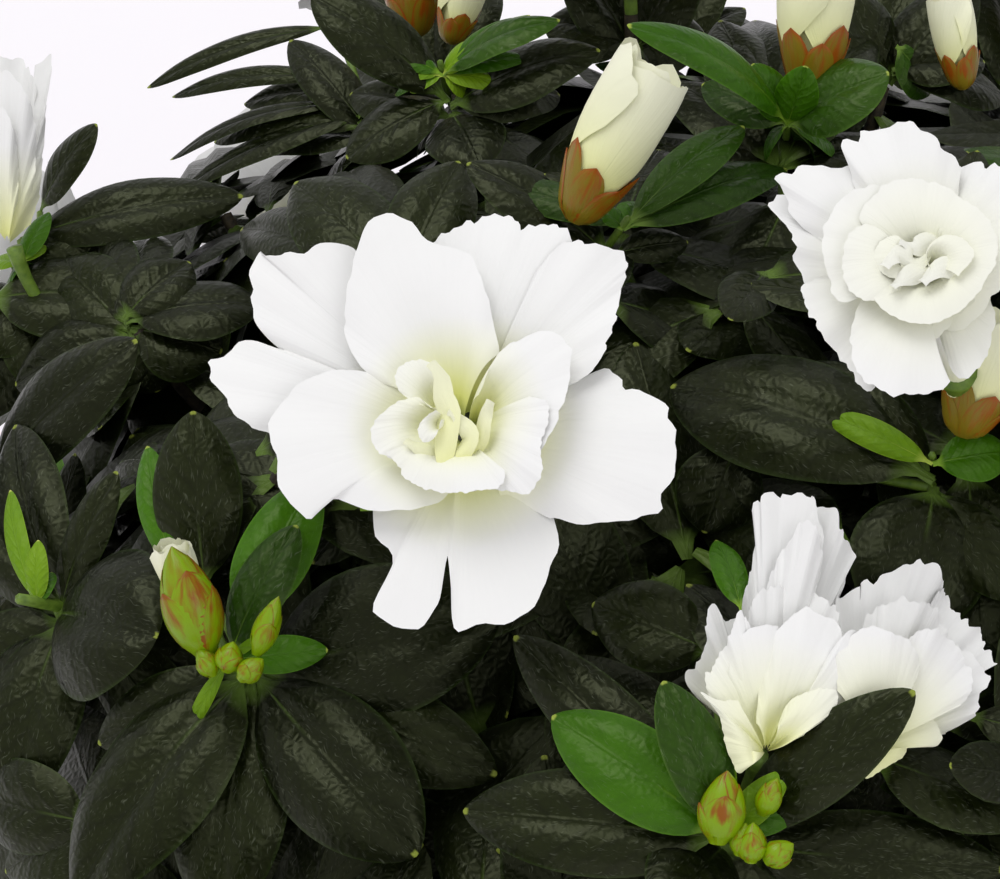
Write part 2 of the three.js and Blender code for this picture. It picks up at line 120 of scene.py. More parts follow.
bpy.ops.mesh.primitive_plane_add(size=FLOOR_WIDTH)
floor = bpy.context.object
floor.name = "studio_floor"
# Matt white seamless paper: even and pale, with a faint tooth.
paper, tree, shader = finish_called("matt white backdrop paper")
place = add(tree, "TexCoord").outputs["Object"]
tooth = add(tree, "TexNoise", {"Vector": place, "Scale": 0.9 / MM})
bump = add(tree, "Bump", {"Strength": 0.05, "Distance": 0.2 * MM, "Height": tooth})
feed(shader, {"Base Color": linear("#FFFCFF"), "Roughness": 0.9, "Normal": bump})
floor.data.materials.append(paper)

world = bpy.data.worlds.new("studio")
world.use_nodes = True
feed(world.node_tree.nodes["Background"], {"Color": linear(ROOM_COLOUR), "Strength": ROOM_STRENGTH})
bpy.context.scene.world = world
bpy.context.scene.view_settings.view_transform = "Standard"


def soft_lamp(place, width, power):
    """A round lamp that shines at the middle of the view."""
    bpy.ops.object.light_add(type="AREA", location=place)
    lamp = bpy.context.object
    lamp.data.shape = "DISK"
    lamp.data.size = width
    lamp.data.energy = power
    aim = Vector(TARGET * MM) - Vector(place)
    lamp.rotation_euler = aim.to_track_quat("-Z", "Y").to_euler()


soft_lamp(LAMP_PLACE, LAMP_WIDTH, LAMP_POWER)
soft_lamp(FILL_PLACE, FILL_WIDTH, FILL_POWER)

# The pot: a round azalea pot, wider than it is tall, injection-moulded in a matt polypropylene
# coloured like terracotta, with a stepped band under its rim and five drain holes in its floor.
POT_HEIGHT = 104.0
POT_RIM = 70.0
POT_FOOT = 50.0
RIM_BAND = 20.0
RIM_STEP = 3.0
POT_WALL = 2.6
POT_FLOOR = 3.0
POT_SIDES = 128
NECK = POT_RIM - RIM_STEP - 1.5
BAND_FOOT = POT_HEIGHT - RIM_BAND
MOULDED_EDGE = 0.35
EDGE_ANGLE = math.radians(35)
DRAINS = 5
DRAIN_SIDES = 32
DRAIN_RADIUS = 4.5
DRAIN_CIRCLE = 32.0


def inside_pot(height):
    """The radius of the pot's inside at a height below its rim band."""
    return POT_FOOT + (NECK - POT_FOOT) * height / BAND_FOOT - POT_WALL


def turned(steps, sides):
    """A solid raised from its lowest disc: each step extrudes the last disc to [radius, height]."""
    (radius, height), *rest = steps
    bpy.ops.object.select_all(action="DESELECT")
    bpy.ops.mesh.primitive_circle_add(
        vertices=sides,
        radius=radius * MM,
        fill_type="NGON",
        location=(0, 0, height * MM),
        enter_editmode=True,
    )
    for wider, higher in rest:
        bpy.ops.mesh.extrude_region_move(TRANSFORM_OT_translate={"value": (0, 0, (higher - height) * MM)})
        bpy.ops.transform.resize(value=(wider / radius, wider / radius, 1))
        radius, height = wider, higher
    bpy.ops.mesh.select_all(action="SELECT")
    bpy.ops.mesh.normals_make_consistent(inside=False)
    bpy.ops.object.mode_set(mode="OBJECT")
    bpy.ops.object.transform_apply(location=True)
    return bpy.context.object


def apply_modifiers(piece):
    bpy.ops.object.select_all(action="DESELECT")
    piece.select_set(True)
    bpy.context.view_layer.objects.active = piece
    for modifier in list(piece.modifiers):
        bpy.ops.object.modifier_apply(modifier=modifier.name)


def settle(piece, name, finish, slot, *nodes):
    """Names a finished piece, gives it its material, and sets it in place of its CAD nodes."""
    piece.name = name
    piece.data.materials.clear()
    piece.data.materials.append(finish)
    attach(piece, "root")
    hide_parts(*nodes)


pot = turned(
    [
        (POT_FOOT - 2, 0),
        (POT_FOOT, 2),
        (NECK - 0.3, BAND_FOOT - 3),
        (NECK, BAND_FOOT),
        (POT_RIM - 1.5, BAND_FOOT + 1),
        (POT_RIM - 0.2, POT_HEIGHT - 4),
        (POT_RIM, POT_HEIGHT - 2.5),
        (POT_RIM, POT_HEIGHT - 0.8),
        (POT_RIM - 0.8, POT_HEIGHT),
        (POT_RIM - POT_WALL, POT_HEIGHT),
        (inside_pot(BAND_FOOT - 2), BAND_FOOT - 2),
        (inside_pot(POT_FLOOR), POT_FLOOR),
    ],
    POT_SIDES,
)
for i in range(DRAINS):
    turn = 2 * math.pi * i / DRAINS
    bpy.ops.mesh.primitive_cylinder_add(
        vertices=DRAIN_SIDES,
        radius=DRAIN_RADIUS * MM,
        depth=4 * POT_FLOOR * MM,
        location=(DRAIN_CIRCLE * math.cos(turn) * MM, DRAIN_CIRCLE * math.sin(turn) * MM, 0),
    )
    drill = bpy.context.object
    hole = pot.modifiers.new("drain", "BOOLEAN")
    hole.operation = "DIFFERENCE"
    hole.object = drill
    apply_modifiers(pot)
    bpy.data.objects.remove(drill)
edges = pot.modifiers.new("moulded edges", "BEVEL")
edges.width = MOULDED_EDGE * MM
edges.segments = 2
edges.angle_limit = EDGE_ANGLE
apply_modifiers(pot)
bpy.ops.object.shade_smooth_by_angle(angle=EDGE_ANGLE)

# Moulded polypropylene: matt, with a fine even grain from the mould, faint cloudy colour and pale scuffs
# that run round it.
plastic, tree, shader = finish_called("moulded terracotta polypropylene")
place = add(tree, "TexCoord").outputs["Object"]
grain = add(tree, "TexNoise", {"Vector": place, "Scale": 1 / (0.45 * MM), "Detail": 2})
cloud = add(tree, "TexNoise", {"Vector": place, "Scale": 1 / (30 * MM), "Detail": 4})
scuff_place = add(tree, "Mapping", {"Vector": place, "Scale": (60, 60, 900)})
scuff = add(tree, "TexNoise", {"Vector": scuff_place, "Scale": 1, "Detail": 5})
scuffed = add(tree, "MapRange", {"Value": scuff, 1: 0.6, 2: 0.75, 3: 0.0, 4: 0.35})
tint = add(tree, "Mix", {0: cloud, 6: linear("#A25639"), 7: linear("#B0634A")}, data_type="RGBA")
worn = add(tree, "Mix", {0: scuffed, 6: tint, 7: linear("#C08A72")}, data_type="RGBA")
dull = add(tree, "MapRange", {"Value": cloud, 1: 0.3, 2: 0.7, 3: 0.48, 4: 0.6})
bump = add(tree, "Bump", {"Strength": 0.25, "Distance": 0.05 * MM, "Height": grain})
feed(shader, {"Base Color": worn, "Roughness": dull, "Specular IOR Level": 0.4, "Normal": bump})
settle(pot, "plastic_pot", plastic, "pot", "pot")

# The root ball: moist peat bound by fine roots, firm in the pot and crumbly on top, where it stands
# a little below the rim. Loose crumbs lie on it.
GROUND = 92.0
BALL_GAP = 0.6
BALL_SIDES = 96
TOP_RINGS = 14
RING_WIDTH = 4.0
RING_RISE = 0.32
PEAT_LUMPS = ((9, 2.2), (2.4, 1.2))
CRUMBS = 420
CRUMB_SIZES = (0.7, 2.1)
CRUMB_FORM = (1, 0.8, 0.55)
CRUMB_SLOPE = 3.2


def draw(seed, n):
    """A number from 0 to 1 that is the same each run. n tells the uses of one seed apart."""
    value = math.sin(seed * 12.9898 + n * 78.233) * 43758.5453
    return value - math.floor(value)


def mesh_piece(name, points, faces, smooth=True):
    """An object from an array of points in millimetres and one of faces with equal numbers of corners."""
    data = bpy.data.meshes.new(name)
    count, corners = faces.shape
    data.vertices.add(len(points))
    data.vertices.foreach_set("co", (np.asarray(points) * MM).ravel())
    data.loops.add(count * corners)
    data.loops.foreach_set("vertex_index", faces.ravel())
    data.polygons.add(count)
    data.polygons.foreach_set("loop_start", np.arange(count) * corners)
    data.polygons.foreach_set("use_smooth", np.full(count, smooth))
    data.update(calc_edges=True)
    data.validate()
    made = bpy.data.objects.new(name, data)
    bpy.context.collection.objects.link(made)
    return made


ball_neck = inside_pot(BAND_FOOT - 2) - BALL_GAP
ball = turned(
    [
        (inside_pot(POT_FLOOR) - BALL_GAP, POT_FLOOR),
        (ball_neck, BAND_FOOT - 2),
        (ball_neck + 0.8, GROUND - 6),
        (ball_neck - 2, GROUND - 4.5),
    ]
    + [(ball_neck - 2 - RING_WIDTH * k, GROUND - 4.5 + RING_RISE * k) for k in range(1, TOP_RINGS + 1)],
    BALL_SIDES,
)
crumble = ball.modifiers.new("finer", "SUBSURF")
crumble.subdivision_type = "SIMPLE"
crumble.levels = crumble.render_levels = 1
for size, depth in PEAT_LUMPS:
    lumps = bpy.data.textures.new("peat lumps", "CLOUDS")
    lumps.noise_scale = size * MM
    relief = ball.modifiers.new("lumps", "DISPLACE")
    relief.texture = lumps
    relief.strength = depth * MM
    relief.mid_level = 0.62
    relief.texture_coords = "LOCAL"
apply_modifiers(ball)

bpy.ops.mesh.primitive_ico_sphere_add(subdivisions=1, radius=1)
seed_crumb = bpy.context.object
crumb_points = np.array([v.co[:] for v in seed_crumb.data.vertices])
crumb_faces = np.array([p.vertices[:] for p in seed_crumb.data.polygons])
bpy.data.objects.remove(seed_crumb)
points, faces = [], []
for i in range(CRUMBS):
    reach = (ball_neck - 3) * math.sqrt(draw(i, 1))
    turn = 2 * math.pi * draw(i, 2)
    size = CRUMB_SIZES[0] + (CRUMB_SIZES[1] - CRUMB_SIZES[0]) * draw(i, 3) ** 3
    rough = np.array([[0.6 + 0.8 * draw(i * 13 + k, 4)] for k in range(len(crumb_points))])
    bed = GROUND - 0.5 - CRUMB_SLOPE * reach / ball_neck
    middle = np.array([reach * math.cos(turn), reach * math.sin(turn), bed])
    faces.append(crumb_faces + len(points) * len(crumb_points))
    points.append(crumb_points * rough * size * CRUMB_FORM + middle)
crumbs = mesh_piece("peat_crumbs", np.concatenate(points), np.concatenate(faces), smooth=False)

# Peat: near black where it is moist, brown where it dries, in crumbs of about a millimetre.
peat, tree, shader = finish_called("moist peat")
place = add(tree, "TexCoord").outputs["Object"]
crumb = add(tree, "TexVoronoi", {"Vector": place, "Scale": 1 / (1.6 * MM)})
clod = add(tree, "TexNoise", {"Vector": place, "Scale": 1 / (8 * MM), "Detail": 6, "Roughness": 0.65})
shade = add(tree, "MapRange", {"Value": clod, 1: 0.35, 2: 0.7, 3: 0.0, 4: 1.0})
tint = add(tree, "Mix", {0: shade, 6: linear("#1D140E"), 7: linear("#4A3627")}, data_type="RGBA")
height = add(tree, "Math", {0: crumb, 1: clod}, operation="ADD")
bump = add(tree, "Bump", {"Strength": 0.9, "Distance": 0.9 * MM, "Height": height})
feed(shader, {"Base Color": tint, "Roughness": 0.95, "Normal": bump})
settle(ball, "peat_root_ball", peat, "root_ball", "root_ball")
settle(crumbs, "peat_crumbs", peat, "root_ball", "root_ball")

# The trunk and its boughs: old wood with a furrowed, flaking grey-brown bark. The short trunk flares
# into its surface roots at the peat, and the boughs leave it one above another, fused at their feet.
FORK = np.array([0.0, 0.0, 126.0])
TRUNK_TOP = np.array([3.0, 2.0, 126.0])
TRUNK_RADII = (12.5, 8.6, 7.4, 7.6, 6.2)
TRUNK_STATIONS = (0, 0.2, 0.5, 0.85, 1)
TRUNK_STEPS = 13
TRUNK_BEND = 1.5
ROOT_LOBES = 5
ROOT_FLARE = 0.2
BOUGH_REACH = 58.0
BOUGH_RADII = (2.6, 3.0, 3.0, 2.9)
BOUGH_STEPS = 14
BOUGH_SAG = 1.5
BOUGH_SWAY = 1.2
BOUGH_COLLAR = 0.5
SHOULDERS = 5
SKIRTS = 7
SHOULDER_TILT = 46
SKIRT_TILT = 17
FURROW_DEPTH = 0.55
FURROW_WIDTH = 2.1
FURROW_LENGTH = 11
WOOD_VOXEL = 0.75


def unit(vector):
    return np.asarray(vector, float) / np.linalg.norm(vector)


def direction(longitude, latitude):
    """The direction at two angles in degrees: round from the right side, and up from level."""
    lon, lat = math.radians(longitude), math.radians(latitude)
    return np.array([math.cos(lat) * math.cos(lon), math.cos(lat) * math.sin(lon), math.sin(lat)])


def along(path, count):
    """Places evenly spread on a smooth curve through the given ones."""
    path = np.asarray(path, float)
    steps = np.concatenate([[0], np.cumsum(np.linalg.norm(np.diff(path, axis=0), axis=1))])
    ends = np.vstack([2 * path[0] - path[1], path, 2 * path[-1] - path[-2]])
    places = []
    for reach in np.linspace(0, steps[-1], count):
        k = min(max(np.searchsorted(steps, reach) - 1, 0), len(path) - 2)
        t = (reach - steps[k]) / (steps[k + 1] - steps[k])
        a, b, c, d = ends[k : k + 4]
        curve = 2 * b + (c - a) * t + (2 * a - 5 * b + 4 * c - d) * t**2 + (3 * b - a - 3 * c + d) * t**3
        places.append(0.5 * curve)
    return np.array(places)


def limb(path, radii):
    """A round limb along a smooth path, swept as a curve and turned into a mesh."""
    bpy.ops.object.select_all(action="DESELECT")
    bpy.ops.curve.primitive_nurbs_path_add()
    made = bpy.context.object
    made.data.splines.clear()
    sweep = made.data.splines.new("POLY")
    sweep.points.add(len(path) - 1)
    sweep.points.foreach_set("co", np.hstack([path * MM, np.ones((len(path), 1))]).ravel())
    sweep.points.foreach_set("radius", np.asarray(radii, float))
    made.data.bevel_depth = MM
    made.data.bevel_resolution = 6
    made.data.use_fill_caps = True
    bpy.ops.object.convert(target="MESH")
    return bpy.context.object


def mark(piece, name, values):
    """Gives each point of a piece a number or a vector, for its material to read."""
    kind, key = ("FLOAT", "value") if values.ndim == 1 else ("FLOAT_VECTOR", "vector")
    field = piece.data.attributes.new(name, kind, "POINT")
    field.data.foreach_set(key, values.astype(np.float32).ravel())


# The crown's masses: each one's name, the way to it from the fork, and the height its bough leaves at.
masses = [("top", direction(90, 84), 122.0)]
for i in range(SHOULDERS):
    way = direction(-110 + 360 / SHOULDERS * i, SHOULDER_TILT)
    masses.append((f"shoulder_{i + 1}", way, 116.0 + i % 2))
for i in range(SKIRTS):
    way = direction(-90 + 360 / SKIRTS * i, SKIRT_TILT)
    masses.append((f"skirt_{i + 1}", way, 103.0 + 3 * (i % 3)))

trunk_path = np.array(
    [
        np.array([0, 0, GROUND]) * (1 - s) + TRUNK_TOP * s + [TRUNK_BEND * math.sin(math.pi * s), 0, 0]
        for s in TRUNK_STATIONS
    ]
)
sunk = trunk_path[0] - [0, 0, 2]
girths = np.interp(np.linspace(0, 1, TRUNK_STEPS), TRUNK_STATIONS, TRUNK_RADII)
routes = [(np.vstack([[sunk], along(trunk_path, TRUNK_STEPS)]), np.append(TRUNK_RADII[0] + 1, girths))]
for name, way, foot in masses:
    start = np.array([TRUNK_TOP[0] - 1, TRUNK_TOP[1] - 0.7, foot]) + 2 * way
    tip = FORK + BOUGH_REACH * way
    shoulder = tip - 10 * way
    middle = start + (shoulder - start) * 0.55 - [0, 0, BOUGH_SAG]
    sway = BOUGH_SWAY * np.array([draw(foot, 1) - 0.5, draw(foot, 2) - 0.5, 0])
    path = along([start, middle + sway, shoulder, tip], BOUGH_STEPS)
    collar = 1 + BOUGH_COLLAR * np.exp(-np.linspace(0, 9, BOUGH_STEPS))
    girths = np.interp(np.linspace(0, 3, BOUGH_STEPS), range(4), BOUGH_RADII)
    routes.append((path, girths * collar))
wood_parts = [limb(path, radii) for path, radii in routes]
for piece in wood_parts:
    piece.select_set(True)
bpy.ops.object.join()
wood = bpy.context.object
weld = wood.modifiers.new("grown together", "REMESH")
weld.mode = "VOXEL"
weld.voxel_size = WOOD_VOXEL * MM
ease = wood.modifiers.new("eased forks", "SMOOTH")
ease.iterations = 6
apply_modifiers(wood)

# Each point's place along and around its nearest limb, so the furrows run with the wood.
skin_points = np.array([v.co[:] for v in wood.data.vertices]) / MM
starts = np.concatenate([path[:-1] for path, radii in routes])
spans = np.concatenate([np.diff(path, axis=0) for path, radii in routes])
runs = np.concatenate([np.cumsum(np.linalg.norm(np.diff(path, axis=0), axis=1)) for path, radii in routes])
share = (((skin_points[:, None] - starts) * spans).sum(2) / (spans**2).sum(1)).clip(0, 1)
offsets = skin_points[:, None] - starts - share[..., None] * spans
nearest = (offsets**2).sum(2).argmin(1)
rows = np.arange(len(skin_points))
out = offsets[rows, nearest]
length = runs[nearest] - (1 - share[rows, nearest]) * np.linalg.norm(spans[nearest], axis=1)
out_way = out / np.linalg.norm(out, axis=1, keepdims=True)
ground_near = np.exp(-(skin_points[:, 2] - GROUND) / 5)
lobes = ROOT_FLARE * np.cos(ROOT_LOBES * np.arctan2(out[:, 1], out[:, 0])) * ground_near * TRUNK_RADII[0]
limb_way = spans[nearest] / np.linalg.norm(spans[nearest], axis=1, keepdims=True)
grain = out / FURROW_WIDTH + limb_way * (length / FURROW_LENGTH)[:, None]
furrows = [
    FURROW_DEPTH * (noise.ridged_multi_fractal(Vector(g), 0.9, 2.1, 3, 1.0, 2.0) - 1.1) for g in grain
]
shifted = skin_points + out_way * (lobes.clip(-1, 3) + np.array(furrows))[:, None]
wood.data.vertices.foreach_set("co", (shifted * MM).ravel())
mark(wood, "grain", grain)
wood.data.update()
bpy.ops.object.shade_smooth()

# Old bark: dry and matt, grey on its ridges and brown in its furrows, with small flakes.
bark, tree, shader = finish_called("old azalea bark")
place = add(tree, "Attribute", attribute_name="grain").outputs["Vector"]
ridge = add(tree, "TexNoise", {"Vector": place, "Scale": 1.4, "Detail": 8, "Roughness": 0.7})
flake = add(tree, "TexVoronoi", {"Vector": place, "Scale": 1.1}, feature="DISTANCE_TO_EDGE")
shade = add(tree, "MapRange", {"Value": ridge, 1: 0.35, 2: 0.65, 3: 0.0, 4: 1.0})
tint = add(tree, "Mix", {0: shade, 6: linear("#3B2A1D"), 7: linear("#80705C")}, data_type="RGBA")
height = add(tree, "Math", {0: flake, 1: ridge}, operation="ADD")
bump = add(tree, "Bump", {"Strength": 0.8, "Distance": 0.5 * MM, "Height": height})
feed(shader, {"Base Color": tint, "Roughness": 0.88, "Specular IOR Level": 0.25, "Normal": bump})
settle(wood, "trunk_and_boughs", bark, "bark", "trunk", *[f"bough_{name}" for name, way, foot in masses])

# The shoots: where the crown's twigs end, which way they point and what they carry. The shoots at
# the front stand by the photograph, and the rest follow an even spiral over the dome.
CROWN_Z = 165.0
CROWN_ACROSS = 152.0
CROWN_UP = 124.0
CROWN_DOWN = 46.0
SKIRT_ROUNDING = 1.6
SHOOTS = 74
LOWEST_SHOOT = -26.0
SHOOT_CLEARANCE = 33.0
SHOOT_REACH = 24.0
BLOOM_SPACING = 60.0
BLOOM_HEAD = 20.0
OPEN_FACE = 25.0
CUP_FACE = 1.55
FLOWERING = 0.62
BUDDED = 0.8
OPEN_SHARE = 0.6
LOWEST_BLOOM = -12.0
HUB_RADIUS = 88.0
GOLDEN_ANGLE = math.pi * (3 - math.sqrt(5))
FRONT_MIDDLE = np.array([-42.0, -68.0, 262.0])
FRONT_REACH = 100.0
# Each front shoot's tip and direction, what it carries, and its bloom's radius and height, in mm.
FRONT_SHOOTS = [
    ((-44, -56, 258), (-0.16, -0.6, 0.78), "open", 35, 25),
    ((28, -58, 269), (-0.14, -0.32, 0.94), "cup", 23, 36),
    ((-4, -105, 240), (0.1, -0.1, 0.98), "cup", 13, 34),
    ((14, -104, 240), (0.36, -0.26, 0.9), "cup", 13, 28),
    ((-128, 27, 241), (-0.17, 0.18, 0.97), "cup", 13, 30),
    ((-82, -80, 236), (-0.4, -0.5, 0.77), "bud", 0, 0),
    ((-120, -51, 225), (-0.6, -0.35, 0.72), "leafy", 0, 0),
    ((-9, -117, 236), (-0.05, -0.62, 0.78), "bud", 0, 0),
    ((-27, -26, 278), (0.3, -0.1, 0.95), "bud", 0, 0),
    ((9, 8, 282), (0.1, 0, 1), "bud", 0, 0),
    ((-50, 36, 270), (-0.2, 0.2, 0.96), "bud", 0, 0),
    ((-70, 50, 263), (-0.45, 0.35, 0.82), "leafy", 0, 0),
    ((-112, 14, 243), (-0.45, 0.05, 0.89), "leafy", 0, 0),
]


def crown_point(longitude, latitude, share):
    """A place in the low dome of the crown, at a share of the way out to its surface."""
    lon, lat = math.radians(longitude), math.radians(latitude)
    rise = CROWN_UP if latitude > 0 else CROWN_DOWN
    level = share * CROWN_ACROSS * math.cos(lat)
    return np.array([level * math.cos(lon), level * math.sin(lon), CROWN_Z + share * rise * math.sin(lat)])


def crown_normal(point):
    """Which way the dome of the crown faces at a place."""
    rise = CROWN_UP if point[2] > CROWN_Z else CROWN_DOWN * SKIRT_ROUNDING
    return unit([point[0] / CROWN_ACROSS**2, point[1] / CROWN_ACROSS**2, (point[2] - CROWN_Z) / rise**2])


def across(axis):
    """Two directions square to an axis and to each other, the first of them level."""
    side = np.array([-axis[1], axis[0], 0.0])
    side = np.array([1.0, 0.0, 0.0]) if side @ side < 1e-4 else unit(side)
    return side, unit(np.cross(axis, side))


def mass_of(point):
    """The mass of the crown whose middle lies nearest to the way to a place."""
    way = unit(point - FORK)
    return max(masses, key=lambda mass: mass[1] @ way)


def new_shoot(seed, tip, axis, kind, size=0.0, face=0.0):
    """A shoot, on a twig that runs from its mass's hub over a knee to the tip and ends along the axis."""
    name, way, foot = mass_of(tip)
    hub = FORK + HUB_RADIUS * way
    knee = (tip - SHOOT_REACH * axis) * 0.78 + hub * 0.22
    side, up = across(axis)
    return {
        "seed": seed, "tip": tip, "axis": axis, "kind": kind, "size": size, "face": face,
        "mass": name, "hub": hub, "knee": knee, "down": unit(knee - tip), "side": side, "up": up,
    }


def head_of(shoot):
    """About the middle of the bloom that a shoot carries."""
    return shoot["tip"] + BLOOM_HEAD * shoot["axis"]


def spiral(count, i, seed):
    """One place of an even spiral over the dome: its latitude and its place, drawn a little aside."""
    lowest = math.sin(math.radians(LOWEST_SHOOT))
    height = 1 - (i + 0.5) * (1 - lowest) / count
    latitude = math.degrees(math.asin(height)) + 5 * (draw(seed, 1) - 0.5)
    longitude = math.degrees(i * GOLDEN_ANGLE) + 8 * (draw(seed, 2) - 0.5)
    return latitude, longitude


shoots = []
for i, (tip, axis, kind, size, face) in enumerate(FRONT_SHOOTS):
    shoots.append(new_shoot(i + 1, np.array(tip, float), unit(axis), kind, size, face))
for i in range(SHOOTS):
    seed = 100 + i
    latitude, longitude = spiral(SHOOTS, i, seed)
    tip = crown_point(longitude, min(latitude, 89), 0.93 + 0.05 * draw(seed, 3))
    if any(np.linalg.norm(other["tip"] - tip) < SHOOT_CLEARANCE for other in shoots):
        continue
    axis = unit(crown_normal(tip) + [0, 0, 0.35])
    head = tip + BLOOM_HEAD * axis
    room = all(np.linalg.norm(head_of(s) - head) > BLOOM_SPACING for s in shoots if s["size"])
    listed = np.linalg.norm(tip - FRONT_MIDDLE) < FRONT_REACH
    roll = draw(seed, 4)
    if room and not listed and latitude > LOWEST_BLOOM and roll < FLOWERING:
        is_open = draw(seed, 5) < OPEN_SHARE
        size = 31 + 4 * roll if is_open else 19 + 6 * roll
        face = OPEN_FACE if is_open else CUP_FACE * size
        shoots.append(new_shoot(seed, tip, axis, "open" if is_open else "cup", size, face))
    else:
        shoots.append(new_shoot(seed, tip, axis, "bud" if roll < BUDDED else "leafy"))
main_shoots = list(shoots)
flowering = [s for s in main_shoots if s["size"]]

# The finer shoots: twigs that fork off the ones above to fill the dome between and below them, by the
# same spiral drawn closer and deeper, so that the inside of the crown is as dark as on a grown plant.
LAYERS = [
    {"count": 330, "seed": 500, "share": 0.865, "clearance": 16.5},
    {"count": 150, "seed": 900, "share": 0.71, "clearance": 21.0},
    {"count": 120, "seed": 1300, "share": 0.54, "clearance": 19.0},
]
for depth, layer in enumerate(LAYERS, 1):
    for i in range(layer["count"]):
        seed = layer["seed"] + i
        latitude, longitude = spiral(layer["count"], i, seed)
        tip = crown_point(longitude, min(latitude, 89), layer["share"] + 0.05 * draw(seed, 3))
        if any(np.linalg.norm(other["tip"] - tip) < layer["clearance"] for other in shoots):
            continue
        parent = min(main_shoots, key=lambda s: np.linalg.norm(s["tip"] - tip))
        lean = unit(tip - parent["knee"])
        made = new_shoot(seed, tip, unit(crown_normal(tip) + 0.5 * lean + [0, 0, 0.2]), "leafy")
        made["depth"] = depth
        made["mass"] = parent["mass"]
        high = 0.75 if depth == 1 else 0.45
        made["fork"] = parent["knee"] * high + parent["hub"] * (1 - high)
        made["down"] = unit(made["fork"] - tip)
        shoots.append(made)

# The leaves: leathery and elliptic, drawn to a short stalk and a small pale point, with a sunken
# midrib, a slight fold along it and margins that roll under. They stand in a whorl round each shoot.
LEAF_ALONG = np.array([0, 0.09, 0.15, 0.24, 0.36, 0.5, 0.64, 0.78, 0.89, 0.965, 1])
LEAF_ACROSS = np.array([-1, -0.5, 0, 0.5, 1])
FRONT_ALONG = np.concatenate([[0, 0.05], np.linspace(0.09, 0.93, 17), [0.97, 0.99, 1]])
FRONT_ACROSS = np.linspace(-1, 1, 11)
STALK_SHARE = 0.07
STALK_HALF = 0.9
POINT_HALF = 0.16
FULL_WIDTH = 18.0
SEED_STEP = 13.7
BLADE_FOOT = 0.62
BLADE_HEAD = 0.68
FIRST_RISE = 0.42
LAST_RISE = -0.33
WHORL_START = 3.0
# Where a leaf would meet a bloom, it is turned by the first value and made smaller by the second.
LEAF_TRIES = ((0, 1), (0.35, 0.9), (-0.35, 0.9), (0.15, 0.7))
BLOOM_CLEARANCE = 1.5
HIDES_BLOOM = 60.0

bloom_tips = np.array([s["tip"] for s in flowering])
bloom_axes = np.array([s["axis"] for s in flowering])
bloom_sizes = np.array([s["size"] for s in flowering])
bloom_faces = np.array([s["face"] for s in flowering])


def meets_bloom(points):
    """Whether any of these points stands in a bloom or hides it from in front."""
    reach = np.asarray(points)[:, None] - bloom_tips
    height = (reach * bloom_axes).sum(2)
    wide = np.linalg.norm(reach - height[..., None] * bloom_axes, axis=2)
    spread = np.where(height < bloom_faces - 6, 0.5 * bloom_sizes * height / bloom_faces, bloom_sizes)
    return ((height > 3) & (height < bloom_faces + HIDES_BLOOM) & (wide < spread + BLOOM_CLEARANCE)).any()


leaves = {}


def grow_leaf(mass, tone, root, tip, hint, width, arch, seed, roll=0.0):
    leaves.setdefault((mass, tone), []).append((root, tip, hint, width, arch, seed, roll))


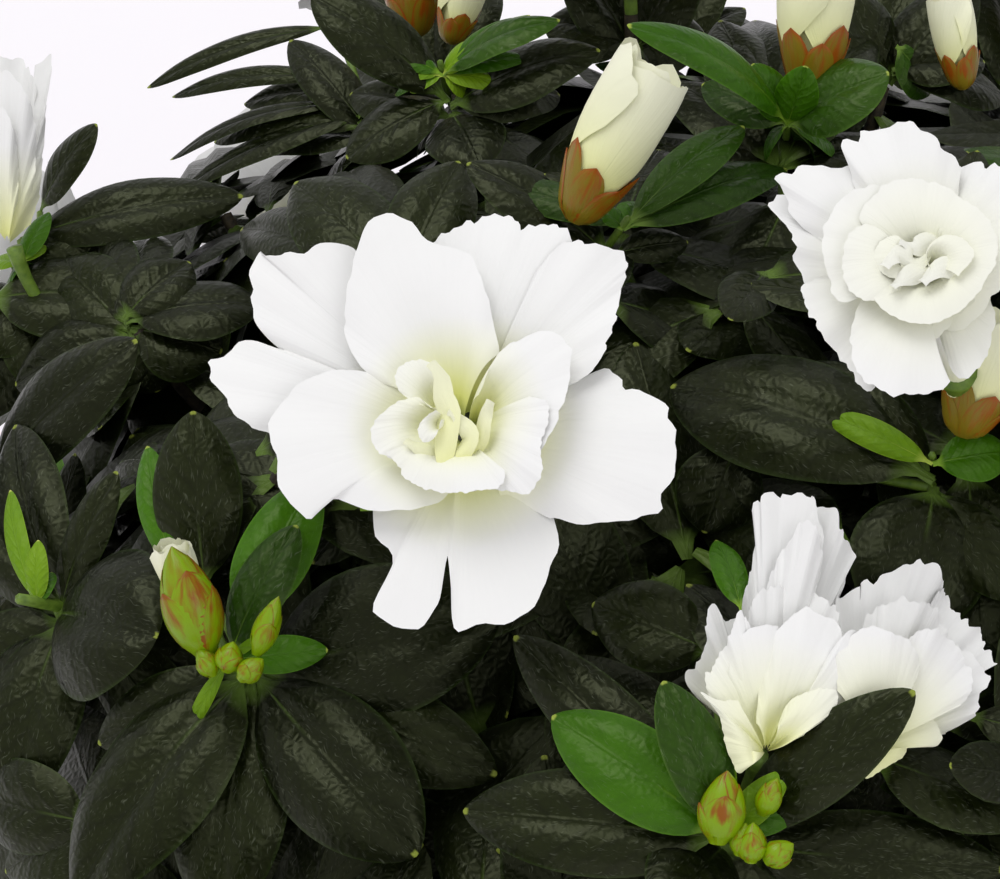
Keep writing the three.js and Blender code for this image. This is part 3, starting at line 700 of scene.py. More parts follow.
# The front leaves, each by its age, the pixel of its tip, its width and how far its tip stands above the
# whorl's plane, in millimetres, and the pixel of its root where that isn't the whorl's middle. The
# hearts are the pixels of those middles where they aren't the shoots' tips.
FRONT_HEARTS = {2: (932, 455), 5: (20, 250), 6: (222, 655), 9: (628, 218), 10: (790, 112), 11: (440, 62)}
FRONT_LEAVES = {
    6: [
        ("grown", (193, 411), 13.5, 12, (206, 590)), ("young", (316, 478), 10, 2, (240, 625)),
        ("young", (147, 446), 6, 8, (176, 575)), ("half", (297, 525), 9, 7), ("grown", (98, 744), 11, -1),
        ("grown", (75, 905), 18, 0), ("grown", (215, 925), 17, -8), ("grown", (417, 856), 21, -6),
        ("grown", (497, 775), 15, -14), ("grown", (500, 612), 22, -7), ("grown", (443, 709), 15, -17),
        ("young", (328, 650), 5.5, 0), ("new", (279, 597), 4, 6), ("new", (189, 732), 2.6, 0),
    ],
    7: [
        ("grown", (158, 636), 26, 5), ("grown", (117, 471), 8, 5),
        ("grown", (137, 340), 15, 0, (-12, 482)), ("grown", (12, 807), 15, -4),
        ("grown", (-40, 700), 15, 0), ("grown", (-35, 840), 15, -6), ("grown", (15, 425), 14, 4),
        ("grown", (-30, 470), 13, 2), ("new", (38, 540), 4, 8), ("new", (10, 490), 4, 8),
        ("young", (52, 572), 4, 4),
    ],
    8: [
        ("grown", (463, 811), 14, -4), ("young", (552, 716), 12, 3), ("grown", (514, 636), 11, -4),
        ("half", (663, 681), 9, 13), ("grown", (592, 604), 12.5, -6, (716, 652)),
        ("young", (716, 540), 4.5, -4, (742, 612)), ("young", (637, 734), 8, 4),
        ("grown", (915, 691), 11.5, 17), ("new", (788, 771), 4.5, 8), ("young", (803, 802), 5, 4),
        ("new", (684, 788), 3, 6), ("new", (726, 742), 3, 9), ("grown", (1005, 870), 13, -5),
        ("grown", (940, 905), 13, -12), ("grown", (662, 912), 14, 8), ("grown", (560, 890), 13, -12),
    ],
    2: [
        ("grown", (642, 376), 21, 0), ("grown", (812, 362), 10, 4), ("new", (822, 413), 4.5, 6),
        ("grown", (900, 640), 19, -8), ("grown", (704, 533), 14, -10, (738, 436)),
        ("grown", (1015, 600), 10, -6), ("young", (1010, 452), 8, 2),
    ],
    10: [
        ("young", (627, 25), 8.5, 26), ("young", (752, 64), 6.5, 15), ("half", (889, 73), 13, 18),
        ("half", (790, 166), 9, -8), ("young", (764, 160), 4, -4), ("half", (702, 84), 8, 6),
        ("young", (806, 66), 6.5, 18), ("young", (835, 150), 7, -4), ("grown", (905, 150), 12, -6),
        ("grown", (870, 30), 12, 6), ("grown", (720, 20), 12, 2), ("grown", (748, -25), 14, 0),
        ("grown", (668, 80), 12, -4),
    ],
    9: [
        ("half", (744, 126), 8, 14), ("half", (787, 169), 8, 8), ("grown", (688, 242), 6, 2),
        ("grown", (467, 163), 11, 2), ("half", (500, 188), 7, 0), ("young", (600, 205), 4, 6),
        ("young", (640, 203), 5, 5),
    ],
    11: [
        ("grown", (346, 158), 12, -2), ("grown", (312, -5), 13, 14), ("grown", (560, 95), 13, -6),
        ("grown", (600, 50), 13, 4), ("grown", (505, 128), 13, -10), ("grown", (480, 166), 13, 2),
        ("grown", (425, 140), 13, -12), ("grown", (350, 94), 11, -4), ("half", (560, 20), 9, 12),
        ("new", (378, 75), 4, 4), ("new", (530, 15), 3, 10), ("young", (395, 95), 4, 0),
        ("new", (500, 85), 4, 2), ("new", (480, 40), 4, 8), ("young", (372, 50), 4, 6),
        ("young", (528, 58), 5, 4), ("young", (514, 18), 4, 10), ("new", (410, 92), 3.5, 2),
        ("new", (468, 96), 3.5, 0),
    ],
    12: [
        ("grown", (147, 88), 5, 0, (338, 26)), ("grown", (172, 97), 4.5, -2, (345, 78)),
        ("grown", (170, 160), 5.5, -4, (352, 104)), ("grown", (172, 197), 7, -6, (372, 112)),
        ("grown", (250, 110), 8, -6), ("grown", (214, 142), 8, -5, (352, 110)),
        ("grown", (244, 104), 7, -3, (352, 92)), ("grown", (262, 150), 9, -10),
        ("grown", (330, 175), 12, -12), ("grown", (290, 40), 9, 4),
    ],
    13: [
        ("grown", (190, 262), 12, -2), ("grown", (262, 306), 15, -4), ("grown", (150, 234), 13, -9),
        ("grown", (96, 236), 13, -9), ("grown", (222, 352), 15, -5), ("grown", (158, 392), 14, -8),
        ("grown", (60, 262), 14, -4), ("grown", (15, 385), 14, -6),
    ],
    5: [
        ("grown", (187, 312), 16, -4, (-14, 300)), ("grown", (243, 196), 12, 2, (20, 240)),
        ("grown", (104, 226), 10, 0, (12, 262)), ("grown", (-30, 345), 15, -4),
        ("grown", (62, 398), 14, -9), ("grown", (4, 400), 16, -11), ("grown", (-35, 420), 16, -13),
        ("grown", (97, 124), 8, 10, (40, 212)), ("young", (49, 212), 4, 4), ("young", (32, 285), 4, -6),
        ("young", (8, 295), 5, -4), ("new", (45, 245), 3, 2), ("new", (-8, 262), 4, 0),
    ],
    103: [
        ("grown", (985, 62), 12, 2), ("grown", (1005, 98), 14, -5), ("grown", (845, 42), 12, 4),
        ("half", (930, 95), 9, -4), ("grown", (830, -12), 12, 8), ("grown", (975, -12), 12, 8),
    ],
    106: [
        ("grown", (545, 22), 13, 2), ("grown", (705, 34), 13, 2), ("grown", (640, 62), 13, -6),
        ("grown", (570, -40), 13, 8), ("grown", (690, -40), 13, 8),
    ],
    111: [
        ("grown", (815, -6), 12, 6), ("grown", (965, 18), 12, 4), ("grown", (900, 58), 12, -2),
        ("grown", (850, -50), 13, 10), ("grown", (930, -45), 13, 10),
    ],
    114: [("grown", (490, -20), 13, 6), ("grown", (525, 25), 13, 0), ("grown", (385, -25), 13, 6)],
    119: [
        ("grown", (600, 3), 12, 6), ("grown", (745, 8), 12, 6), ("grown", (640, -50), 13, 10),
        ("grown", (720, -45), 13, 10), ("grown", (560, -30), 12, 8),
    ],
    124: [("grown", (985, -25), 13, 6), ("grown", (955, 25), 13, 2), ("grown", (1005, 25), 12, 0)],
    133: [
        ("grown", (-25, 790), 14, 4), ("grown", (60, 905), 14, -4), ("grown", (5, 872), 14, 0),
        ("grown", (-50, 868), 20, -6),
    ],
    104: [
        ("grown", (295, 182), 14, 8), ("grown", (459, 161), 13, 6), ("grown", (228, 225), 12, -6),
        ("grown", (330, 140), 12, -8), ("grown", (520, 215), 12, -8),
    ],
}
EDGE_ON = 0.5
STEM_FOOT = 24.0
STEM_DIP = 10.0
STEM_AHEAD = 14.0
FRONT_ARCH = (0.07, 0.05)
FRONT_ROLL = 0.4
WATCHED_SHARES = (0.25, 0.4, 0.55, 0.7, 0.85, 0.97)
LONGEST_LEAF = 46.0
FACING = 0.7
BROADER = 1.1
FRONT_DOWN = 7.0
FRONT_STEP = 0.55
by_seed = {s["seed"]: s for s in shoots}
stalks = []
watched = []
for seed, listed in FRONT_LEAVES.items():
    shoot = by_seed[seed]
    axis = shoot["axis"]
    slope = axis if -axis @ AHEAD > EDGE_ON else unit(axis - AHEAD)
    heart = shoot["tip"] + 2 * shoot["down"]
    if seed in FRONT_HEARTS:
        heart = seen_on(FRONT_HEARTS[seed], shoot["tip"] - 4 * axis, slope)
        middle = (heart + shoot["tip"]) / 2 - STEM_DIP * axis + STEM_AHEAD * AHEAD
        stalks.append([shoot["tip"] + STEM_FOOT * shoot["down"], middle, heart])
    for i, (tone, tip_pixel, width, lift, *root_pixel) in enumerate(listed):
        grown = tone == "grown"
        root = heart - axis * (FRONT_DOWN + FRONT_STEP * i if grown else 2.5)
        if root_pixel:
            origin = root
            root = seen_on(root_pixel[0], root, slope)
            stalks.append([origin, (origin + root) / 2 - 2 * axis, root])
        tip = seen_on(tip_pixel, heart - 8 * axis, slope, lift)
        length = np.linalg.norm(tip - root)
        tip = root + (tip - root) * min(1, LONGEST_LEAF / length)
        arch = (FRONT_ARCH[0] + FRONT_ARCH[1] * draw(seed, 120 + i)) * length
        roll = FRONT_ROLL * (draw(seed, 130 + i) - 0.5)
        hint = axis - FACING * AHEAD
        grow_leaf("front", tone, root, tip, hint, BROADER * width, arch, seed * 7 + i, roll)
        for share in WATCHED_SHARES:
            watched.append((root + share * (tip - root), 0.5 * width + 1))

# The front blooms and buds that no other leaf may hide: the pixels of their middles and their radii.
FRONT_ROUNDS = {
    1: [((455, 430), 30), ((415, 580), 14), ((500, 580), 12)],
    2: [((905, 260), 21), ((985, 370), 9)],
    3: [((770, 670), 16), ((800, 550), 10)],
    4: [((920, 660), 15)],
    5: [((10, 140), 12)],
    6: [((195, 600), 8), ((235, 665), 6)],
    8: [((723, 810), 5), ((765, 850), 5)],
    9: [((580, 190), 6), ((615, 130), 8), ((655, 90), 7)],
    10: [((815, 20), 8)],
    11: [((410, 10), 8), ((455, 15), 5)],
}
for seed, rounds in FRONT_ROUNDS.items():
    shoot = by_seed[seed]
    for pixel, radius in rounds:
        watched.append((seen_on(pixel, shoot["tip"] + 2 * shoot["axis"], shoot["axis"] - AHEAD), radius))
watched_places = np.array([place for place, radius in watched])
watched_radii = np.array([radius for place, radius in watched])
watched_depths = (watched_places - EYE) @ AHEAD
HIDES_FRONT = 140.0


def hides_front(points):
    """Whether a leaf would stand between the eye and a front leaf, bud or bloom."""
    rays = np.asarray(points) - EYE
    depths = rays @ AHEAD
    if depths.mean() < watched_depths.min() - HIDES_FRONT:
        return False
    sight = (watched_places - EYE) / watched_depths[:, None]
    apart = np.linalg.norm(rays[:, None] - sight[None] * depths[:, None, None], axis=2)
    return ((apart < watched_radii) & (depths[:, None] < watched_depths - 0.5)).any()


def whorl_leaf(shoot, spin, rise, down, length, droop, width, tone):
    """One leaf of a whorl, tried again turned or smaller where it would meet a bloom."""
    for swing, share in LEAF_TRIES:
        turn = spin + swing
        level = math.cos(turn) * shoot["side"] + math.sin(turn) * shoot["up"]
        way = level * math.cos(rise) + shoot["axis"] * math.sin(rise)
        root = shoot["tip"] + down * shoot["down"]
        over = unit(shoot["axis"] - (shoot["axis"] @ way) * way)
        tip = root + share * (length * way - droop * over)
        middle = (root + tip) / 2 + 0.25 * droop * over
        edge = 0.5 * share * width * np.cross(over, way)
        marks = [tip, middle, middle + edge, middle - edge, (middle + tip) / 2, (root + middle) / 2]
        if meets_bloom(marks[:5]) or hides_front(marks):
            continue
        seed = shoot["seed"] + 17.3 * spin
        grow_leaf(shoot["mass"], tone, root, tip, shoot["axis"], share * width, 0.25 * share * droop, seed)
        return


# The finer whorls fill the crown below the front ones, whose first leaves are the ones set out above.
# Where there is one value for each depth, it goes from the main shoots to the finest.
FRONT_WHORLS = (1, 2, 3, 5, 6, 7, 8, 9, 10, 11, 12, 13)
SET_OUT = 4
WHORL_COUNTS = (9, 8, 6, 6)
LEAF_LENGTHS = (34, 31, 36, 38)
LENGTH_SPREAD = 9
LEAF_STEP = 2.3
BLOOM_DIP = 0.12
LOWEST_RISE = -0.45
YOUNG_SHARES = (0.6, 0.3)
YOUNG_IN_VIEW = 0.3
TIP_COUNTS = (5, 3)
GREEN_IN_VIEW = (7, 8)


def in_view(point):
    """Whether a point lies in the photograph's frame or just outside it."""
    ray = point - EYE
    scale = 1 / (ray @ AHEAD) / PIXEL
    right, up = ray @ RIGHT * scale, ray @ ABOVE * scale
    return abs(right) < PHOTO_MIDDLE[0] + 30 and abs(up) < PHOTO_MIDDLE[1] + 60


for shoot in shoots:
    seed = shoot["seed"]
    depth = shoot.get("depth", 0)
    front = seed in FRONT_WHORLS
    near = in_view(shoot["tip"])
    shoot["bare"] = depth == 1 and hides_front([shoot["tip"], shoot["tip"] + 8 * shoot["down"]])
    if shoot["bare"]:
        shoot["green_end"] = False
        continue
    for i in range(SET_OUT if front else 0, WHORL_COUNTS[depth]):
        spin = i * GOLDEN_ANGLE + 2 * math.pi * draw(seed, 7)
        rise = FIRST_RISE + (LAST_RISE - FIRST_RISE) * i / 6 - (BLOOM_DIP if shoot["size"] else 0)
        rise = max(rise, LOWEST_RISE) + 0.16 * (draw(seed, 60 + i) - 0.5)
        length = LEAF_LENGTHS[depth] + LENGTH_SPREAD * draw(seed, 10 + i)
        crown_leaf = not shoot["size"] and i < 2 and depth < 2
        if crown_leaf:
            length *= 0.62 + 0.12 * i
        tone = "grown"
        if crown_leaf and draw(seed, 70 + i) < YOUNG_SHARES[depth] * (YOUNG_IN_VIEW if near else 1):
            tone = "young" if draw(seed, 80 + i) < 0.35 else "half"
        width = length * (0.43 + 0.1 * draw(seed, 20 + i))
        droop = length * (0.08 + 0.2 * draw(seed, 30 + i))
        whorl_leaf(shoot, spin, rise, WHORL_START + LEAF_STEP * i, length, droop, width, tone)
    shoot["green_end"] = not shoot["size"] and (not near or seed in GREEN_IN_VIEW)
    if shoot["size"] or near or depth > 1:
        continue
    for i in range(TIP_COUNTS[depth]):
        spin = i * GOLDEN_ANGLE + 2 * math.pi * draw(seed, 9)
        length = 6 + 9 * draw(seed, 90 + i)
        rise = 1.15 - 0.5 * draw(seed, 100 + i)
        tone = "new" if draw(seed, 110 + i) < 0.55 else "young"
        whorl_leaf(shoot, spin, rise, 0.5 + 0.6 * i, length, 0.12 * length, 0.36 * length, tone)


def lattice(rows, cols, closed=False):
    """Faces between points in rows and columns. A closed one joins its last column to its first."""
    row, j = np.meshgrid(np.arange(rows - 1) * cols, np.arange(cols if closed else cols - 1), indexing="ij")
    on = (j + 1) % cols
    return np.stack([row + j, row + on, row + cols + on, row + cols + j], -1).reshape(-1, 4)


def lay_chart(piece, name, places):
    """Gives a piece a flat map of its own, from a place on the map for each of its points."""
    corners = np.zeros(len(piece.data.loops), dtype=np.int32)
    piece.data.loops.foreach_get("vertex_index", corners)
    chart = piece.data.uv_layers.new(name=name)
    chart.data.foreach_set("uv", places[corners].astype(np.float32).ravel())


def leaf_mesh(name, records, stations, columns):
    """All the leaves of a kind as one mesh, with a map across and along each and its place in mm."""
    root, tip, hint, width, arch, seed, roll = [np.array(field, float) for field in zip(*records)]
    chord = tip - root
    length = np.linalg.norm(chord, axis=1, keepdims=True)
    way = chord / length
    over = hint - (hint * way).sum(1, keepdims=True) * way
    over /= np.linalg.norm(over, axis=1, keepdims=True)
    blade = np.cross(over, way)
    over, blade = (
        over * np.cos(roll)[:, None] + blade * np.sin(roll)[:, None],
        blade * np.cos(roll)[:, None] - over * np.sin(roll)[:, None],
    )
    t, v = [field[None] for field in np.meshgrid(stations, columns, indexing="ij")]
    u = ((t - STALK_SHARE) / (1 - STALK_SHARE)).clip(0, 1)
    peak = BLADE_FOOT / (BLADE_FOOT + BLADE_HEAD)
    top = peak**BLADE_FOOT * (1 - peak) ** BLADE_HEAD
    form = np.array([draw(s, 1) for s in seed])[:, None, None]
    spread = u ** (BLADE_FOOT + 0.25 * (form - 0.5)) * (1 - u) ** BLADE_HEAD / top
    half = 0.5 * width[:, None, None] * spread
    size = width[:, None, None] / FULL_WIDTH
    half = np.maximum(half, size.clip(0.35, 1) * np.where(t < 0.5, STALK_HALF, POINT_HALF))
    wave = 0.05 * np.sin(9 * t + 6 * form) * np.abs(v) ** 2
    fold = 0.35 + 0.4 * np.array([draw(s, 2) for s in seed])[:, None, None]
    lift = half * (fold * np.abs(v) - (0.22 + fold * 0.9) * v**2 + wave)
    bow = arch[:, None, None] * 4 * t * (1 - t)
    tail = -0.35 * arch[:, None, None] * np.clip((t - 0.75) / 0.25, 0, 1) ** 2 * 4 * t * (1 - t)
    points = (
        root[:, None, None]
        + way[:, None, None] * (t * length[:, :, None])[..., None]
        + blade[:, None, None] * (v * half)[..., None]
        + over[:, None, None] * (lift + bow + tail)[..., None]
    )
    rows, cols = len(stations), len(columns)
    starts = rows * cols * np.arange(len(records))
    faces = lattice(rows, cols) + starts[:, None, None]
    piece = mesh_piece(name, points.reshape(-1, 3), faces.reshape(-1, 4))
    ones = np.ones_like(half)
    place = np.stack([v * half, t * length[:, :, None] * ones, SEED_STEP * seed[:, None, None] * ones], -1)
    mark(piece, "leaf_place", place.reshape(-1, 3))
    lay_chart(piece, "leaf", np.stack([(v * ones + 1) / 2, t * ones], -1).reshape(-1, 2))
    return piece


WAX_TINT = "#D6DEB0"


def leaf_finish(name, deep, pale, light, rim, point, gloss, shine, hair_share, ribs):
    """A leaf's surface: sunken midrib and side veins, a quilted net between them, and pressed hairs. ribs
    is how far painted shade darkens the side veins and net.
    """
    material, tree, shader = finish_called(name)
    chart = add(tree, "SeparateXYZ", {0: add(tree, "UVMap", uv_map="leaf")})
    far = chart.outputs[1]
    place = add(tree, "Attribute", attribute_name="leaf_place").outputs["Vector"]
    spots = add(tree, "SeparateXYZ", {0: place})
    off = add(tree, "MapRange", {"Value": chart.outputs[0], 1: 0, 2: 1, 3: -1, 4: 1})
    off = add(tree, "Math", {0: off}, operation="ABSOLUTE")
    warp = add(tree, "TexNoise", {"Vector": place, "Scale": 0.22, "Detail": 1})

    # The midrib is a groove about half a millimetre wide.
    eased = {"interpolation_type": "SMOOTHSTEP"}
    midrib = add(tree, "MapRange", {"Value": off, 1: 0.0, 2: 0.06, 3: 1.0, 4: 0.0}, **eased)

    # Side veins leave it every 4 mm or so and curve towards the point, with the blade swelling between.
    bent = add(tree, "Math", {0: off, 1: 0.8}, operation="POWER")
    bent = add(tree, "Math", {0: bent, 1: -1.9}, operation="MULTIPLY")
    ladder = add(tree, "Math", {0: far, 1: 7.5, 2: bent}, operation="MULTIPLY_ADD")
    one_side = add(tree, "Math", {0: chart.outputs[0], 1: 0.5}, operation="GREATER_THAN")
    ladder = add(tree, "Math", {0: one_side, 1: 0.45, 2: ladder}, operation="MULTIPLY_ADD")
    ladder = add(tree, "Math", {0: warp, 1: 0.6, 2: ladder}, operation="MULTIPLY_ADD")
    rung = add(tree, "Math", {0: ladder, 1: 0.5}, operation="PINGPONG")
    veins = add(tree, "MapRange", {"Value": rung, 1: 0.0, 2: 0.3, 3: 1.0, 4: 0.0}, **eased)

    # The net between them has meshes of about 2 mm. The slant gives each blade its own part of it.
    shifted = add(tree, "VectorMath", {0: place, 1: warp.outputs["Color"]}, operation="ADD")
    slanted = add(tree, "Mapping", {"Vector": shifted, "Rotation": (0.3, 0.3, 0)})
    flat_edge = {"feature": "DISTANCE_TO_EDGE", "voronoi_dimensions": "2D"}
    net = add(tree, "TexVoronoi", {"Vector": slanted, "Scale": 0.75}, **flat_edge)
    mesh = add(tree, "MapRange", {"Value": net, 1: 0.0, 2: 0.45, 3: 1.0, 4: 0.0}, **eased)

    # Hairs pressed to the blade, 1 to 2 mm long and drawn a little wider than life so that they show.
    bend = add(tree, "TexNoise", {"Vector": place, "Scale": 0.55, "Detail": 0}).outputs["Color"]
    strands = add(tree, "VectorMath", {0: bend, 1: (1.6, 1.6, 0), 2: place}, operation="MULTIPLY_ADD")
    strands = add(tree, "VectorMath", {0: strands, 1: (8, 0.85, 1)}, operation="MULTIPLY")
    hairs = add(tree, "TexNoise", {"Vector": strands, "Scale": 1.0, "Detail": 0})
    hairy = add(tree, "MapRange", {"Value": hairs, 1: 0.69, 2: 0.8, 3: 0.0, 4: hair_share})

    # Each blade has its own depth of green and is cloudy from base to point. It is darker in its sunken
    # side veins and net: painted shade for those grooves.
    own = add(tree, "TexWhiteNoise", {"W": spots.outputs[2]}, noise_dimensions="1D")
    cloud = add(tree, "TexNoise", {"Vector": place, "Scale": 0.16, "Detail": 3})
    depth = add(tree, "Math", {0: own.outputs["Value"], 1: 0.55, 2: -0.1}, operation="MULTIPLY_ADD")
    depth = add(tree, "Math", {0: cloud, 1: 0.5, 2: depth}, operation="MULTIPLY_ADD")
    # Painted shade: ribs darkens the green along the sunken side veins and, by half as much, along the net.
    depth = add(tree, "Math", {0: veins, 1: -ribs, 2: depth}, operation="MULTIPLY_ADD")
    depth = add(tree, "Math", {0: mesh, 1: -0.5 * ribs, 2: depth}, operation="MULTIPLY_ADD")
    depth.use_clamp = True
    green = add(tree, "Mix", {0: depth, 6: linear(deep), 7: linear(pale)}, data_type="RGBA")

    # The midrib is light where it leaves the stalk, the stalk is yellow-green, and the margin is paler.
    base = add(tree, "MapRange", {"Value": far, 1: 0.06, 2: 0.4, 3: 0.6, 4: 0.0})
    lit = add(tree, "Math", {0: base, 1: midrib}, operation="MULTIPLY")
    stalk = add(tree, "MapRange", {"Value": far, 1: 0.07, 2: 0.14, 3: 0.8, 4: 0.0})
    lit = add(tree, "Math", {0: lit, 1: stalk}, operation="MAXIMUM")
    ribbed = add(tree, "Mix", {0: lit, 6: green, 7: linear(light)}, data_type="RGBA")
    edge = add(tree, "MapRange", {"Value": off, 1: 0.93, 2: 1.0, 3: 0.0, 4: 0.35})
    rimmed = add(tree, "Mix", {0: edge, 6: ribbed, 7: linear(rim)}, data_type="RGBA")
    furred = add(tree, "Mix", {0: hairy, 6: rimmed, 7: linear("#A9B09A")}, data_type="RGBA")

    # The point is a pale knob less than a millimetre across.
    aside = add(tree, "Math", {0: spots.outputs[0]}, operation="ABSOLUTE")
    knob = add(tree, "MapRange", {"Value": aside, 1: 0.35, 2: 0.6, 3: 1.0, 4: 0.0})
    head = add(tree, "MapRange", {"Value": far, 1: 0.976, 2: 0.986, 3: 0.0, 4: 1.0})
    head = add(tree, "Math", {0: head, 1: knob}, operation="MULTIPLY")
    pointed = add(tree, "Mix", {0: head, 6: furred, 7: linear(point)}, data_type="RGBA")

    relief = add(tree, "Math", {0: midrib, 1: -0.9}, operation="MULTIPLY")
    relief = add(tree, "Math", {0: veins, 1: -0.5, 2: relief}, operation="MULTIPLY_ADD")
    relief = add(tree, "Math", {0: mesh, 1: -0.4, 2: relief}, operation="MULTIPLY_ADD")
    relief = add(tree, "Math", {0: hairy, 1: 0.25, 2: relief}, operation="MULTIPLY_ADD")
    bump = add(tree, "Bump", {"Strength": 0.32, "Distance": 0.36 * MM, "Height": relief})
    dull = add(tree, "MapRange", {"Value": cloud, 1: 0.3, 2: 0.7, 3: gloss, 4: gloss + 0.14})
    feed(shader, {"Base Color": pointed, "Roughness": dull, "Normal": bump})
    feed(shader, {"Specular IOR Level": shine, "Specular Tint": linear(WAX_TINT)})
    return material


# Grown leaves are leathery, green-black with a soft waxy gloss; half-grown ones are a duller middle
# green; young ones are thin and bright; the newest, still unfolding, are yellow-green.
leaf_finishes = {
    "grown": leaf_finish(
        "grown azalea leaf", deep="#0A0E03", pale="#1D2409", light="#5F7A30", rim="#34481B",
        point="#87933A", gloss=0.27, shine=0.34, hair_share=0.12, ribs=0.25,
    ),
    "half": leaf_finish(
        "half-grown azalea leaf", deep="#1B3209", pale="#365A10", light="#7C9C42", rim="#5A7E30",
        point="#93A244", gloss=0.28, shine=0.32, hair_share=0.12, ribs=0.12,
    ),
    "young": leaf_finish(
        "young azalea leaf", deep="#244A04", pale="#477A0A", light="#8FB53A", rim="#64962A",
        point="#9DAE48", gloss=0.3, shine=0.34, hair_share=0.08, ribs=0.06,
    ),
    "new": leaf_finish(
        "new azalea leaf", deep="#567F0C", pale="#86A81C", light="#B9CC56", rim="#97B43A",
        point="#C9D26A", gloss=0.34, shine=0.34, hair_share=0.05, ribs=0.04,
    ),
}
for (mass, tone), records in leaves.items():
    if mass == "front":
        piece = leaf_mesh("leaves", records, FRONT_ALONG, FRONT_ACROSS)
        nodes = ["foliage_top", "foliage_shoulder_1", "foliage_shoulder_5"]
    else:
        piece = leaf_mesh("leaves", records, LEAF_ALONG, LEAF_ACROSS)
        nodes = [f"foliage_{mass}"]
    settle(piece, f"leaves_{tone}_{mass}", leaf_finishes[tone], "leaves", *nodes)

# The twigs: brown and bristly below, greener towards their tips, each forking from the one before.
# They are swept tubes of six sides, joined to one piece for each mass of the crown.
TWIG_END = 12.0
GREEN_RADII = (1.25, 0.9)
TWIG_RADII = (2.3, 1.8, 1.2)
STEM_RADII = (2.9, 2.6)
FINE_RADII = (1.35, 1.05, 0.8)
SIDE_STEM_RADII = (1.0, 0.6)
TWIG_SIDES = 6
TWIG_SWAY = 1.6
LOW_CALYX = (3, 4, 5)


def tube(path, radii, sides=TWIG_SIDES):
    """Points and four-cornered faces of a tapering tube, closed to a small cap at its end."""
    path = np.asarray(path, float)
    radii = np.append(np.asarray(radii, float), 0.05)
    ways = np.gradient(path, axis=0)
    path, ways = np.vstack([path, path[-1] + 0.3 * unit(ways[-1])]), np.vstack([ways, ways[-1]])
    turn = 2 * np.pi * np.arange(sides) / sides
    rings = []
    for place, way, radius in zip(path, ways, radii):
        side, up = across(unit(way))
        rings.append(place + radius * (np.outer(np.cos(turn), side) + np.outer(np.sin(turn), up)))
    return np.concatenate(rings), lattice(len(path), sides, closed=True)


def joined(parts):
    """Points and faces of several parts as one."""
    starts = np.cumsum([0] + [len(points) for points, faces in parts[:-1]])
    moved = [faces + start for (points, faces), start in zip(parts, starts)]
    return np.concatenate([points for points, faces in parts]), np.concatenate(moved)


def twig_path(start, middle, tip, count, seed):
    """A twig's path, drawn a little aside at its middle."""
    sway = TWIG_SWAY * np.array([draw(seed, 41) - 0.5, draw(seed, 42) - 0.5, draw(seed, 43) - 0.5])
    return along([start, middle + sway, tip], count)


# Young bark: brown, with stiff pressed hairs that give it a dull streaky look.
twig_bark, tree, shader = finish_called("young azalea bark")
place = add(tree, "TexCoord").outputs["Object"]
streak = add(tree, "TexNoise", {"Vector": place, "Scale": 1 / (0.9 * MM), "Detail": 4})
shade = add(tree, "MapRange", {"Value": streak, 1: 0.35, 2: 0.7, 3: 0.0, 4: 1.0})
tint = add(tree, "Mix", {0: shade, 6: linear("#1E1A0E"), 7: linear("#413822")}, data_type="RGBA")
bump = add(tree, "Bump", {"Strength": 0.6, "Distance": 0.25 * MM, "Height": streak})
feed(shader, {"Base Color": tint, "Roughness": 0.8, "Normal": bump})

for name, way, foot in masses:
    stem = np.array([FORK + (BOUGH_REACH - 1) * way, FORK + HUB_RADIUS * way])
    parts = [tube(along(stem, 5), np.interp(np.linspace(0, 1, 5), (0, 1), STEM_RADII), 10)]
    for shoot in shoots:
        if shoot["mass"] != name or shoot["bare"]:
            continue
        low = not shoot["size"] or shoot["seed"] in LOW_CALYX
        low = TWIG_END * (1.6 if shoot["seed"] in FRONT_HEARTS else 1) if low else 0
        end = shoot["tip"] + low * shoot["down"]
        if "fork" in shoot:
            middle = (shoot["fork"] + shoot["tip"]) / 2 - 3 * shoot["axis"]
            path = twig_path(shoot["fork"], middle, end, 7, shoot["seed"])
            parts.append(tube(path, np.interp(np.linspace(0, 2, 7), range(3), FINE_RADII)))
        else:
            path = twig_path(shoot["hub"], shoot["knee"], end, 10, shoot["seed"])
            parts.append(tube(path, np.interp(np.linspace(0, 2, 10), range(3), TWIG_RADII), 8))
    settle(mesh_piece("twigs", *joined(parts)), f"twigs_{name}", twig_bark, "bark", f"foliage_{name}")

# The green ends of the shoots, this year's growth: soft stems with stiff hairs, that carry the whorls
# of leaves, run on from the brown twigs and end in the buds.
green_skin, tree, shader = finish_called("hairy green stem")
place = add(tree, "TexCoord").outputs["Object"]
speck = add(tree, "TexNoise", {"Vector": place, "Scale": 1 / (1.1 * MM), "Detail": 3})
tint = add(tree, "Mix", {0: speck, 6: linear("#33560F"), 7: linear("#7F9C34")}, data_type="RGBA")
bump = add(tree, "Bump", {"Strength": 0.4, "Distance": 0.15 * MM, "Height": speck})
feed(shader, {"Base Color": tint, "Roughness": 0.5, "Normal": bump})

for name, way, foot in masses:
    ends = [shoot for shoot in shoots if shoot["mass"] == name and shoot["green_end"]]
    parts = []
    for shoot in ends:
        tip, down = shoot["tip"], shoot["down"]
        path = along([tip + (TWIG_END + 2) * down, tip + 5 * down, tip], 4)
        parts.append(tube(path, np.linspace(*GREEN_RADII, 4)))
    if parts:
        piece = mesh_piece("ends", *joined(parts))
        settle(piece, f"green_ends_{name}", green_skin, "leaves", f"foliage_{name}")
side_stems = [tube(along(path, 6), np.linspace(*SIDE_STEM_RADII, 6)) for path in stalks]
piece = mesh_piece("side_stems", *joined(side_stems))
settle(piece, "side_stems_front", green_skin, "leaves", "foliage_shoulder_1")

